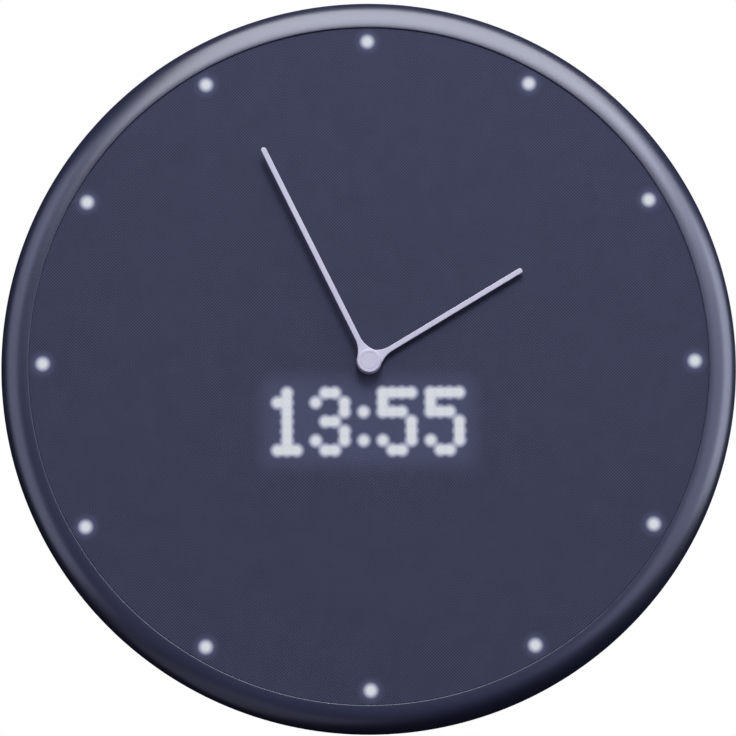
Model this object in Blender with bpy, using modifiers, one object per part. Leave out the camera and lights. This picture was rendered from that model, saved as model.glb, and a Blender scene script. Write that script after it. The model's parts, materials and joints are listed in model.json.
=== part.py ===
"""Round wall clock: fabric dial, two slim hands, twelve hour lights and a dot readout.

The dial faces -Y with +Z up, and the flat back lies on the wall plane y = 0. The pieces are laid
out in the clock's own axes under one turned empty: x to the right, y up, z away from the wall.
All lengths are in metres and all angles in degrees.
"""

import math

import bmesh
import bpy
from mathutils import Matrix

# Case
CASE_RADIUS = 0.1525
CASE_DEPTH = 0.034
BEZEL_WIDTH = 0.0123
BEZEL_CROWN = 0.0106
BEZEL_LENGTH = 0.018
BEZEL_SKIRT = 0.003
BEZEL_LIP_ROUND = 0.0005
BEZEL_REAR_CHAMFER = 0.0006
HOUSING_WALL = 0.0024
HOUSING_TAPER = 0.031
HOUSING_EDGE_CHAMFER = 0.0015
SHADOW_LINE = 0.002

# Clearances
SEAT_GAP = 0.0003
EDGE_GAP = 0.0004
SLIP_GAP = 0.0005
RUNNING_GAP = 0.00005
OVERCUT = 0.001

# Dial and its cloth
FABRIC_RECESS = 0.0005
FABRIC_THICKNESS = 0.0008
FABRIC_ROUND = 0.0004
FABRIC_WRAP = 0.006
DIAL_THICKNESS = 0.0025
DIAL_RIM = 0.0012
FLANGE_THICKNESS = 0.0024

# Hour lights
HOUR_LIGHTS = 12
HOUR_LIGHT_MARGIN = 0.0011
HOUR_LIGHT_RADIUS = 0.0018
LIGHT_GUIDE_THICKNESS = 0.0012
LIGHT_GUIDE_WIDTH = 0.007
LED_SIZE = 0.0028
LED_HEIGHT = 0.0012
LED_BOARD_WIDTH = 0.01

# Dot readout
MATRIX_BLOCKS = 3
MATRIX_BLOCK_SIZE = 0.032
MATRIX_BLOCK_DEPTH = 0.008
MATRIX_EAR = 0.009
POST_RADIUS = 0.003

# Circuit boards
BOARD_THICKNESS = 0.0016
BOARD_WIDTH = 0.074
BOARD_HEIGHT = 0.027
BOARD_STANDOFF = 0.0071
BOARD_CORNER = 0.002
BOARD_HOLE_INSET = 0.0045
CHIP_SIZE = 0.009
CHIP_HEIGHT = 0.0014
RADIO_INSET = 0.0123
RADIO_LENGTH = 0.018
RADIO_HEIGHT = 0.0024

# Hands
HOUR_HAND_LENGTH = 0.0738
HOUR_HAND_ANGLE = 59.1
MINUTE_HAND_LENGTH = 0.099
MINUTE_HAND_ANGLE = 333.9
HAND_WIDTH = 0.0022
HAND_THICKNESS = 0.0012
HAND_FILLET = 0.015
HUB_RADIUS = 0.0051
HOUR_HAND_HEIGHT = 0.0014
HAND_SPACING = 0.0026
CAP_RADIUS = 0.0045
CAP_HEIGHT = 0.0009
CAP_CHAMFER = 0.0003

# Movement
MOVEMENT_ROOM = 0.0011
MOVEMENT_WALL = 0.0016
MOVEMENT_CORNER = 0.003
MOVEMENT_COVER = 0.0014
EAR_LENGTH = 0.008
EAR_HEIGHT = 0.007
EAR_THICKNESS = 0.0012
BUSH_WALL = 0.0011
PIPE_WALL = 0.0011
MINUTE_ARBOR_RADIUS = 0.0012
TRAIN_ARBOR_RADIUS = 0.00075
BOSS_WALL = 0.0011
MOTOR_RADIUS = 0.005
MOTOR_HEIGHT = 0.0072

# Gear train
TRAIN_DISTANCE = 0.009
CANNON_TEETH = 10
MINUTE_WHEEL_TEETH = 30
MINUTE_PINION_TEETH = 8
HOUR_WHEEL_TEETH = 32
TRAIN_PINION_TEETH = 10
TRAIN_WHEEL_TEETH = 30
WHEEL_THICKNESS = 0.0009
PINION_OVERLAP = 0.00025
LAYER_GAP = 0.0004
GEAR_BACKLASH = 0.00006
PRESSURE_ANGLE = 20.0
TOOTH_ADDENDUM = 0.8
TOOTH_DEDENDUM = 1.15
MINUTE_WHEEL_BEARING = 150.0
THIRD_WHEEL_BEARING = 60.0
MOTOR_BEARING = 90.0

# Screws
CASE_SCREWS = 6
CASE_SCREW_RADIUS = 0.0013
CASE_SCREW_HEAD_RADIUS = 0.0027
CASE_SCREW_HEAD_HEIGHT = 0.002
CASE_SCREW_BITE = 0.0035
CASE_SCREW_SEAT = 0.005
SMALL_SCREW_RADIUS = 0.001
SMALL_SCREW_HEAD_RADIUS = 0.002
SMALL_SCREW_HEAD_HEIGHT = 0.0011
SMALL_SCREW_BITE = 0.0045

# Rear hanger
HANGER_MARGIN = 0.0142
HANGER_WIDTH = 0.042
HANGER_LENGTH = 0.034
HANGER_THICKNESS = 0.0015
HANGER_SCREW_SINK = 0.0002
HANGER_POCKET_DEPTH = 0.008
HANGER_POCKET_WIDTH = 0.026
HANGER_POCKET_LENGTH = 0.026
KEYHOLE_RADIUS = 0.005
KEYHOLE_SLOT = 0.0056
KEYHOLE_TRAVEL = 0.0095

# Rear controls and power inlet
BUTTONS = ("set_button", "plus_button", "minus_button")
BUTTON_SPACING = 0.016
BUTTON_RISE = 0.015
BUTTON_RADIUS = 0.0036
BUTTON_FLANGE = 0.001
BUTTON_FACE_DEPTH = 0.0005
BUTTON_RECESS = 0.0013
BUTTON_MARGIN = 0.0065
PLUNGER_RADIUS = 0.0016
PLUNGER_STICK = 0.0009
PLUNGER_DEPTH = 0.0015
SWITCH_SIZE = 0.006
PLUG_RECESS_MARGIN = 0.014
PLUG_RECESS_LENGTH = 0.034
PLUG_RECESS_WIDTH = 0.018
PLUG_ROOM = 0.0045
CHANNEL_WIDTH = 0.0065
CHANNEL_DEPTH = 0.0065
SOCKET_WIDTH = 0.0089
SOCKET_HEIGHT = 0.0033
SOCKET_LENGTH = 0.0073
SOCKET_WALL = 0.0004
SOCKET_BACK = 0.0012
SOCKET_TONGUE = 0.0007
BATTERY_WIDTH = 0.052
BATTERY_LENGTH = 0.06
BATTERY_THICKNESS = 0.0075
BATTERY_CORNER = 0.0025
BATTERY_MARGIN = 0.008
BATTERY_RISE = 0.02
RIBBON_WIDTH = 0.012
RIBBON_THICKNESS = 0.0003
RIBBON_OFFSET = 0.024
RIBBON_TAIL = 0.005

# Facets
CASE_STEPS = 72
INNER_STEPS = 48
ROUND_SIDES = 16
SMALL_SIDES = 8
CROWN_STEPS = 7
CORNER_STEPS = 3
LIP_STEPS = 3
FABRIC_STEPS = 2
TIP_STEPS = 8
FILLET_STEPS = 6
HUB_STEPS = 18
KEYHOLE_STEPS = 16
RIBBON_STEPS = 10
WELD_DISTANCE = 0.000001
TURN_WELD_DISTANCE = 0.000005
SHARP_ANGLE = 35.0

# Worked-out places, radii first and then heights above the wall
LIP_RADIUS = CASE_RADIUS - BEZEL_WIDTH
SKIRT_RADIUS = CASE_RADIUS - BEZEL_SKIRT
HOUSING_RADIUS = SKIRT_RADIUS - SLIP_GAP
CASE_SCREW_BOSS = CASE_SCREW_HEAD_RADIUS + SLIP_GAP + BOSS_WALL
CASE_SCREW_CIRCLE = HOUSING_RADIUS - CASE_SCREW_BOSS
FABRIC_RADIUS = LIP_RADIUS - EDGE_GAP
DIAL_RADIUS = FABRIC_RADIUS - FABRIC_THICKNESS - SEAT_GAP
DIAL_INNER_RADIUS = DIAL_RADIUS - DIAL_RIM
LIGHT_CIRCLE = DIAL_INNER_RADIUS - HOUR_LIGHT_MARGIN - HOUR_LIGHT_RADIUS - SEAT_GAP
LED_BOARD_RADIUS = DIAL_INNER_RADIUS - EDGE_GAP

FABRIC_FRONT = CASE_DEPTH - FABRIC_RECESS
DIAL_FRONT = FABRIC_FRONT - FABRIC_THICKNESS - SEAT_GAP
DIAL_REAR = DIAL_FRONT - DIAL_THICKNESS
BEZEL_LEDGE = FABRIC_FRONT - FABRIC_WRAP
BEZEL_REAR = CASE_DEPTH - BEZEL_LENGTH
FLANGE_FRONT = BEZEL_LEDGE - SEAT_GAP
FLANGE_REAR = FLANGE_FRONT - FLANGE_THICKNESS
HOUSING_FRONT = FLANGE_REAR - SEAT_GAP
SCREW_HEAD_TOP = HOUSING_FRONT - CASE_SCREW_SEAT - SEAT_GAP
GUIDE_FRONT = DIAL_REAR - SEAT_GAP
GUIDE_REAR = GUIDE_FRONT - LIGHT_GUIDE_THICKNESS
LED_BOARD_FRONT = GUIDE_REAR - SEAT_GAP - LED_HEIGHT
MATRIX_REAR = DIAL_FRONT - MATRIX_BLOCK_DEPTH
MATRIX_BOARD_FRONT = MATRIX_REAR - SEAT_GAP
MATRIX_BOARD_REAR = MATRIX_BOARD_FRONT - BOARD_THICKNESS

MOVEMENT_FRONT = DIAL_REAR - SEAT_GAP
MOVEMENT_INSIDE = MOVEMENT_FRONT - MOVEMENT_WALL
HOUR_WHEEL_FRONT = MOVEMENT_INSIDE - LAYER_GAP
HOUR_WHEEL_REAR = HOUR_WHEEL_FRONT - WHEEL_THICKNESS
MINUTE_PINION_REAR = HOUR_WHEEL_REAR - PINION_OVERLAP
MINUTE_WHEEL_FRONT = MINUTE_PINION_REAR - LAYER_GAP / 2
MINUTE_WHEEL_REAR = MINUTE_WHEEL_FRONT - WHEEL_THICKNESS
CANNON_FRONT = HOUR_WHEEL_REAR - LAYER_GAP
CANNON_REAR = MINUTE_WHEEL_REAR - PINION_OVERLAP
CENTRE_WHEEL_FRONT = CANNON_REAR - LAYER_GAP
CENTRE_WHEEL_REAR = CENTRE_WHEEL_FRONT - WHEEL_THICKNESS
THIRD_PINION_REAR = CENTRE_WHEEL_REAR - PINION_OVERLAP
THIRD_WHEEL_FRONT = THIRD_PINION_REAR - LAYER_GAP
THIRD_WHEEL_REAR = THIRD_WHEEL_FRONT - WHEEL_THICKNESS
MOTOR_PINION_REAR = THIRD_WHEEL_REAR - PINION_OVERLAP
BOSS_FRONT = THIRD_WHEEL_REAR - SEAT_GAP
MOTOR_REAR = MOTOR_PINION_REAR - LAYER_GAP - MOTOR_HEIGHT
COVER_FRONT = MOTOR_REAR - SEAT_GAP
MOVEMENT_REAR = COVER_FRONT - MOVEMENT_COVER

HOUR_HAND_REAR = FABRIC_FRONT + HOUR_HAND_HEIGHT
HOUR_HAND_FRONT = HOUR_HAND_REAR + HAND_THICKNESS
MINUTE_HAND_REAR = HOUR_HAND_REAR + HAND_SPACING
MINUTE_HAND_FRONT = MINUTE_HAND_REAR + HAND_THICKNESS

HOUSING_FLOOR = HOUSING_WALL
BACK_RADIUS = HOUSING_RADIUS - HOUSING_TAPER
PLUG_RECESS_DROP = BACK_RADIUS - PLUG_RECESS_MARGIN - PLUG_RECESS_LENGTH
TAPER_FRONT = BEZEL_REAR - SHADOW_LINE
BOARD_REAR = HOUSING_FLOOR + BOARD_STANDOFF
BOARD_FRONT = BOARD_REAR + BOARD_THICKNESS
BOARD_BOTTOM = HOUSING_WALL + 2 * SEAT_GAP - PLUG_RECESS_DROP
BOARD_MIDDLE = BOARD_BOTTOM + BOARD_HEIGHT / 2
BUTTON_ROW = BOARD_BOTTOM + BUTTON_RISE
FLANGE_SEAT = BUTTON_RECESS + HOUSING_WALL + SEAT_GAP
PLUNGER_REAR = FLANGE_SEAT + BUTTON_FLANGE + SEAT_GAP
SWITCH_REAR = PLUNGER_REAR + PLUNGER_STICK
SOCKET_MIDDLE = BOARD_REAR - SEAT_GAP - SOCKET_HEIGHT / 2
PLUG_RECESS_DEPTH = SOCKET_MIDDLE + PLUG_ROOM
HANGER_INSET = HANGER_SCREW_SINK + SMALL_SCREW_HEAD_HEIGHT + SEAT_GAP
HANGER_SEAT = HANGER_INSET + HANGER_THICKNESS + SEAT_GAP
HANGER_MIDDLE = BACK_RADIUS - HANGER_MARGIN - HANGER_LENGTH / 2
KEYHOLE_ENTRY = HANGER_MIDDLE - KEYHOLE_TRAVEL / 2

for leftover in list(bpy.data.objects):
    bpy.data.objects.remove(leftover)

parts = bpy.data.collections.new("fabric_wall_clock")
cutters = bpy.data.collections.new("cutters")
bpy.context.scene.collection.children.link(parts)
bpy.context.scene.collection.children.link(cutters)


# Frame and joint axes

def axis_empty(name, parent=None, place=(0.0, 0.0, 0.0)):
    empty = bpy.data.objects.new(name, None)
    empty.parent = parent
    empty.location = place
    parts.objects.link(empty)
    return empty


def polar(distance, degrees):
    angle = math.radians(degrees)
    return distance * math.cos(angle), distance * math.sin(angle)


def offset(start, step):
    return start[0] + step[0], start[1] + step[1]


CENTRE = (0.0, 0.0)
MINUTE_WHEEL_PLACE = polar(TRAIN_DISTANCE, MINUTE_WHEEL_BEARING)
THIRD_PLACE = polar(TRAIN_DISTANCE, THIRD_WHEEL_BEARING)
MOTOR_PLACE = offset(THIRD_PLACE, polar(TRAIN_DISTANCE, MOTOR_BEARING))

# The movement's box is as large as its wheels and motor need, and the readout hangs below it
MINUTE_MODULE = 2 * TRAIN_DISTANCE / (CANNON_TEETH + MINUTE_WHEEL_TEETH)
HOUR_MODULE = 2 * TRAIN_DISTANCE / (MINUTE_PINION_TEETH + HOUR_WHEEL_TEETH)
TRAIN_MODULE = 2 * TRAIN_DISTANCE / (TRAIN_WHEEL_TEETH + TRAIN_PINION_TEETH)
HOUR_WHEEL_TIP = HOUR_MODULE * (HOUR_WHEEL_TEETH / 2 + TOOTH_ADDENDUM)
MINUTE_WHEEL_TIP = MINUTE_MODULE * (MINUTE_WHEEL_TEETH / 2 + TOOTH_ADDENDUM)
TRAIN_WHEEL_TIP = TRAIN_MODULE * (TRAIN_WHEEL_TEETH / 2 + TOOTH_ADDENDUM)
MOVEMENT_MARGIN = MOVEMENT_ROOM + MOVEMENT_WALL
MOVEMENT_BOTTOM = -max(HOUR_WHEEL_TIP, TRAIN_WHEEL_TIP) - MOVEMENT_MARGIN
MOVEMENT_TOP = max(MOTOR_PLACE[1] + MOTOR_RADIUS, THIRD_PLACE[1] + TRAIN_WHEEL_TIP) + MOVEMENT_MARGIN
MOVEMENT_HEIGHT = MOVEMENT_TOP - MOVEMENT_BOTTOM
MOVEMENT_MIDDLE = (MOVEMENT_TOP + MOVEMENT_BOTTOM) / 2
MOVEMENT_WIDTH = 2 * MOVEMENT_MARGIN + 2 * max(
    abs(MINUTE_WHEEL_PLACE[0]) + MINUTE_WHEEL_TIP,
    abs(THIRD_PLACE[0]) + TRAIN_WHEEL_TIP,
    abs(MOTOR_PLACE[0]) + MOTOR_RADIUS,
)
MATRIX_DROP = MATRIX_BLOCK_SIZE / 2 + 2 * SEAT_GAP - MOVEMENT_BOTTOM

clock = axis_empty("clock_frame")
clock.rotation_euler.x = math.pi / 2
minute_axis = axis_empty("minute_axis", clock)
hour_axis = axis_empty("hour_axis", clock)
minute_wheel_axis = axis_empty("minute_wheel_axis", clock, (*MINUTE_WHEEL_PLACE, 0.0))
third_axis = axis_empty("third_axis", clock, (*THIRD_PLACE, 0.0))
motor_axis = axis_empty("motor_axis", clock, (*MOTOR_PLACE, 0.0))


# Materials

def material(name, colour, roughness, metallic=0.0):
    made = bpy.data.materials.new(name)
    made.use_nodes = True
    shader = made.node_tree.nodes["Principled BSDF"]
    shader.inputs["Base Color"].default_value = (*colour, 1.0)
    shader.inputs["Roughness"].default_value = roughness
    shader.inputs["Metallic"].default_value = metallic
    return made


indigo_paint = material("indigo_paint", (0.040, 0.040, 0.075), 0.35)
housing_plastic = material("housing_plastic", (0.022, 0.022, 0.034), 0.55)
dial_cloth = material("dial_cloth", (0.050, 0.052, 0.095), 0.9)
white_plastic = material("white_plastic", (0.62, 0.62, 0.60), 0.5)
clear_plastic = material("clear_plastic", (0.75, 0.78, 0.80), 0.2)
hand_paint = material("hand_paint", (0.56, 0.56, 0.70), 0.4)
board_green = material("board_green", (0.012, 0.06, 0.035), 0.45)
matrix_black = material("matrix_black", (0.012, 0.012, 0.013), 0.5)
movement_grey = material("movement_grey", (0.10, 0.10, 0.11), 0.5)
brass = material("brass", (0.62, 0.43, 0.16), 0.3, 1.0)
steel = material("steel", (0.55, 0.55, 0.56), 0.32, 1.0)
gear_white = material("gear_white", (0.66, 0.64, 0.58), 0.45)
button_rubber = material("button_rubber", (0.03, 0.03, 0.035), 0.7)
battery_wrap = material("battery_wrap", (0.05, 0.16, 0.30), 0.4)
ribbon_film = material("ribbon_film", (0.55, 0.40, 0.20), 0.4)


# Outlines

def circle(radius, sides, place=CENTRE):
    return [offset(place, polar(radius, 360 * step / sides)) for step in range(sides)]


def rounded_rectangle(width, height, corner, place=CENTRE):
    points = []
    for quarter, (side_x, side_y) in enumerate(((1, 1), (-1, 1), (-1, -1), (1, -1))):
        centre = offset(place, (side_x * (width / 2 - corner), side_y * (height / 2 - corner)))
        for step in range(CORNER_STEPS + 1):
            points.append(offset(centre, polar(corner, 90 * (quarter + step / CORNER_STEPS))))
    return points


def arc(centre, radius, start, end, steps):
    turn = (end - start) / steps
    return [offset(centre, polar(radius, start + turn * step)) for step in range(steps + 1)]


def bore_for(shaft_radius, sides):
    """Radius of a many-sided hole that a shaft turns in with the running gap."""
    return (shaft_radius + RUNNING_GAP) / math.cos(math.pi / sides)


def gear_outline(teeth, module, phase):
    """Teeth with involute flanks, each given by its root, pitch and tip points."""
    pitch_radius = teeth * module / 2
    base_radius = pitch_radius * math.cos(math.radians(PRESSURE_ANGLE))
    tip_radius = pitch_radius + TOOTH_ADDENDUM * module
    root_radius = pitch_radius - TOOTH_DEDENDUM * module

    def involute(radius):
        angle = math.acos(base_radius / max(radius, base_radius))
        return math.tan(angle) - angle

    def half_tooth(radius):
        at_pitch = math.pi / (2 * teeth) - GEAR_BACKLASH / (2 * pitch_radius)
        return math.degrees(at_pitch + involute(pitch_radius) - involute(radius))

    rising = [(radius, -1) for radius in (root_radius, pitch_radius, tip_radius)]
    falling = [(radius, 1) for radius in (tip_radius, pitch_radius, root_radius)]
    points = []
    for tooth in range(teeth):
        middle = phase + 360 * tooth / teeth
        points += [polar(radius, middle + side * half_tooth(radius)) for radius, side in rising + falling]
    return points


def mating_phase(teeth, phase, bearing, mate_teeth):
    """Turn a mating gear so that its gap meets the first gear's tooth on the line of centres."""
    share = (bearing - phase) * teeth / 360
    return bearing + 180 - (0.5 - share) * 360 / mate_teeth


def hand_outline(length):
    """A slim bar with a round tip that flares into its hub through two hollow fillets."""
    half = HAND_WIDTH / 2
    reach = HUB_RADIUS + HAND_FILLET
    side = half + HAND_FILLET
    rise = math.sqrt(reach ** 2 - side ** 2)
    lean = math.degrees(math.atan2(rise, side))
    tip = arc((0.0, length - half), half, 0, 180, TIP_STEPS)
    left = arc((-side, rise), HAND_FILLET, 0, -lean, FILLET_STEPS)
    hub = arc(CENTRE, HUB_RADIUS, 180 - lean, 360 + lean, HUB_STEPS)
    right = arc((side, rise), HAND_FILLET, 180 + lean, 180, FILLET_STEPS)
    return tip + left + hub[1:-1] + right


# Solids

def finish(item, colour, parent=clock):
    item.parent = parent
    parts.objects.link(item)
    if colour:
        item.data.materials.append(colour)
    return item


def shade_round(mesh):
    """Smooth shading that keeps the true edges sharp."""
    mesh.shade_smooth()
    mesh.set_sharp_from_angle(angle=math.radians(SHARP_ANGLE))


def meshed(item):
    """Turn a curve or a turned profile into a welded mesh that takes a Boolean."""
    bpy.context.view_layer.update()
    evaluated = item.evaluated_get(bpy.context.evaluated_depsgraph_get())
    mesh = bpy.data.meshes.new_from_object(evaluated)
    welded = bmesh.new()
    welded.from_mesh(mesh)
    bmesh.ops.remove_doubles(welded, verts=welded.verts, dist=WELD_DISTANCE)
    bmesh.ops.recalc_face_normals(welded, faces=welded.faces)
    welded.to_mesh(mesh)
    welded.free()
    shade_round(mesh)
    solid = bpy.data.objects.new(f"{item.name}_solid", mesh)
    solid.parent = item.parent
    solid.location = item.location
    parts.objects.link(solid)
    name = item.name
    bpy.data.objects.remove(item)
    solid.name = name
    return solid


def plate(name, outlines, rear, front, colour, parent=clock, place=CENTRE):
    """Flat outline, with any holes, between two heights."""
    curve = bpy.data.curves.new(name, "CURVE")
    curve.dimensions = "2D"
    curve.fill_mode = "BOTH"
    curve.extrude = (front - rear) / 2
    for outline in outlines:
        spline = curve.splines.new("POLY")
        spline.points.add(len(outline) - 1)
        for point, (x, y) in zip(spline.points, outline):
            point.co = (x, y, 0.0, 1.0)
        spline.use_cyclic_u = True
    item = finish(bpy.data.objects.new(name, curve), colour, parent)
    item.location = (*place, (rear + front) / 2)
    return meshed(item)


def turned(name, profile, colour, steps, closed=False, parent=clock, place=CENTRE):
    """Profile of (radius, height) points turned about the z axis."""
    mesh = bpy.data.meshes.new(name)
    edges = [(index, index + 1) for index in range(len(profile) - 1)]
    if closed:
        edges.append((len(profile) - 1, 0))
    mesh.from_pydata([(radius, 0.0, height) for radius, height in profile], edges, [])
    item = finish(bpy.data.objects.new(name, mesh), colour, parent)
    item.location = (*place, 0.0)
    screw = item.modifiers.new("turn", "SCREW")
    screw.axis = "Z"
    screw.steps = steps
    screw.render_steps = steps
    screw.use_merge_vertices = True
    screw.merge_threshold = TURN_WELD_DISTANCE
    return meshed(item)


def tube(name, outer, inner, rear, front, colour, parent=clock, place=CENTRE):
    rings = [circle(outer, ROUND_SIDES), circle(inner, ROUND_SIDES)]
    return plate(name, rings, rear, front, colour, parent, place)


def from_bmesh(name, build, colour=None, parent=clock):
    mesh = bpy.data.meshes.new(name)
    shape = bmesh.new()
    build(shape)
    shape.to_mesh(mesh)
    shape.free()
    shade_round(mesh)
    return finish(bpy.data.objects.new(name, mesh), colour, parent)


def rods(name, places, radius, rear, front, colour=None, parent=clock, sides=ROUND_SIDES):
    """Equal round bars that stand side by side, each with a flat towards the top."""
    half_side = Matrix.Rotation(math.pi / sides, 4, "Z")

    def build(shape):
        for x, y in places:
            middle = Matrix.Translation((x, y, (rear + front) / 2))
            bmesh.ops.create_cone(shape, cap_ends=True, segments=sides, radius1=radius,
                                  radius2=radius, depth=front - rear, matrix=middle @ half_side)
    return from_bmesh(name, build, colour, parent)


def boxes(name, extents, colour=None, parent=clock):
    """Boxes given by their low and high corners."""
    def build(shape):
        for low, high in extents:
            size = [b - a for a, b in zip(low, high)]
            middle = [(a + b) / 2 for a, b in zip(low, high)]
            matrix = Matrix.Translation(middle) @ Matrix.Diagonal((*size, 1.0))
            bmesh.ops.create_cube(shape, size=1.0, matrix=matrix)
    return from_bmesh(name, build, colour, parent)


def combine(target, operation, tool):
    """Boolean with a tool that stays as a hidden wire shape."""
    parts.objects.unlink(tool)
    cutters.objects.link(tool)
    tool.hide_render = True
    tool.display_type = "WIRE"
    boolean = target.modifiers.new(tool.name, "BOOLEAN")
    boolean.operation = operation
    boolean.object = tool
    boolean.solver = "EXACT"


def cut(target, *tools):
    for tool in tools:
        combine(target, "DIFFERENCE", tool)


def join(target, *tools):
    for tool in tools:
        combine(target, "UNION", tool)


def screw_solid(name, place, head_rear, head_front, tip, shank, head, parent=clock):
    """A screw driven from behind: flat head towards the wall, shank towards the dial."""
    profile = [
        (0.0, tip),
        (shank, tip),
        (shank, head_front),
        (head, head_front),
        (head, head_rear),
        (0.0, head_rear),
    ]
    return turned(name, profile, steel, SMALL_SIDES, parent=parent, place=place)


def small_screw(name, place, seat, tip):
    """A small screw whose head bears on a face at the seat height, from behind."""
    head_front = seat - SEAT_GAP
    screw_solid(name, place, head_front - SMALL_SCREW_HEAD_HEIGHT, head_front, tip,
                SMALL_SCREW_RADIUS, SMALL_SCREW_HEAD_RADIUS)


# Shared hole patterns

def left_and_right(distance, height):
    return [(-distance, height), (distance, height)]


case_screw_places = circle(CASE_SCREW_CIRCLE, CASE_SCREWS)
hour_places = circle(LIGHT_CIRCLE, HOUR_LIGHTS)
matrix_half_width = MATRIX_BLOCKS * MATRIX_BLOCK_SIZE / 2
matrix_post_places = left_and_right(matrix_half_width + MATRIX_EAR / 2, -MATRIX_DROP)
movement_screw_places = left_and_right((MOVEMENT_WIDTH + EAR_LENGTH) / 2, MOVEMENT_MIDDLE)
board_screw_places = left_and_right(BOARD_WIDTH / 2 - BOARD_HOLE_INSET,
                                    BOARD_BOTTOM + BOARD_HEIGHT - BOARD_HOLE_INSET)
hanger_screw_places = left_and_right((HANGER_WIDTH + HANGER_POCKET_WIDTH) / 4, HANGER_MIDDLE)
button_row_half = BUTTON_SPACING * (len(BUTTONS) - 1) / 2
button_places = [(index * BUTTON_SPACING - button_row_half, BUTTON_ROW) for index in range(len(BUTTONS))]
small_hole = SMALL_SCREW_RADIUS + SEAT_GAP
pipe_inner = bore_for(MINUTE_ARBOR_RADIUS, ROUND_SIDES)
pipe_outer = pipe_inner + PIPE_WALL
bush_inner = bore_for(pipe_outer, ROUND_SIDES)
bush_outer = bush_inner + BUSH_WALL
bush_hole = bush_outer + EDGE_GAP


# Bezel

def make_bezel():
    """Rounded front ring with an inner lip, a seat for the dial flange and a rear skirt."""
    crown_start = LIP_RADIUS + BEZEL_LIP_ROUND
    crown_width = CASE_RADIUS - crown_start
    crown_base = CASE_DEPTH - BEZEL_CROWN
    lip_centre = (crown_start, CASE_DEPTH - BEZEL_LIP_ROUND)
    profile = [(LIP_RADIUS, BEZEL_LEDGE)]
    profile += arc(lip_centre, BEZEL_LIP_ROUND, 180, 90, LIP_STEPS)
    for across, along in arc(CENTRE, 1.0, 90, 0, CROWN_STEPS)[1:]:
        profile.append((crown_start + crown_width * across, crown_base + BEZEL_CROWN * along))
    profile += [
        (CASE_RADIUS, BEZEL_REAR + BEZEL_REAR_CHAMFER),
        (CASE_RADIUS - BEZEL_REAR_CHAMFER, BEZEL_REAR),
        (SKIRT_RADIUS, BEZEL_REAR),
        (SKIRT_RADIUS, BEZEL_LEDGE),
    ]
    bezel = turned("bezel_ring", profile, indigo_paint, CASE_STEPS, closed=True)
    pilot = CASE_SCREW_RADIUS + SEAT_GAP
    cut(bezel, rods("bezel_pilots", case_screw_places, pilot, BEZEL_LEDGE - OVERCUT,
                    BEZEL_LEDGE + CASE_SCREW_BITE + SEAT_GAP, sides=SMALL_SIDES))


# Rear housing

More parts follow.
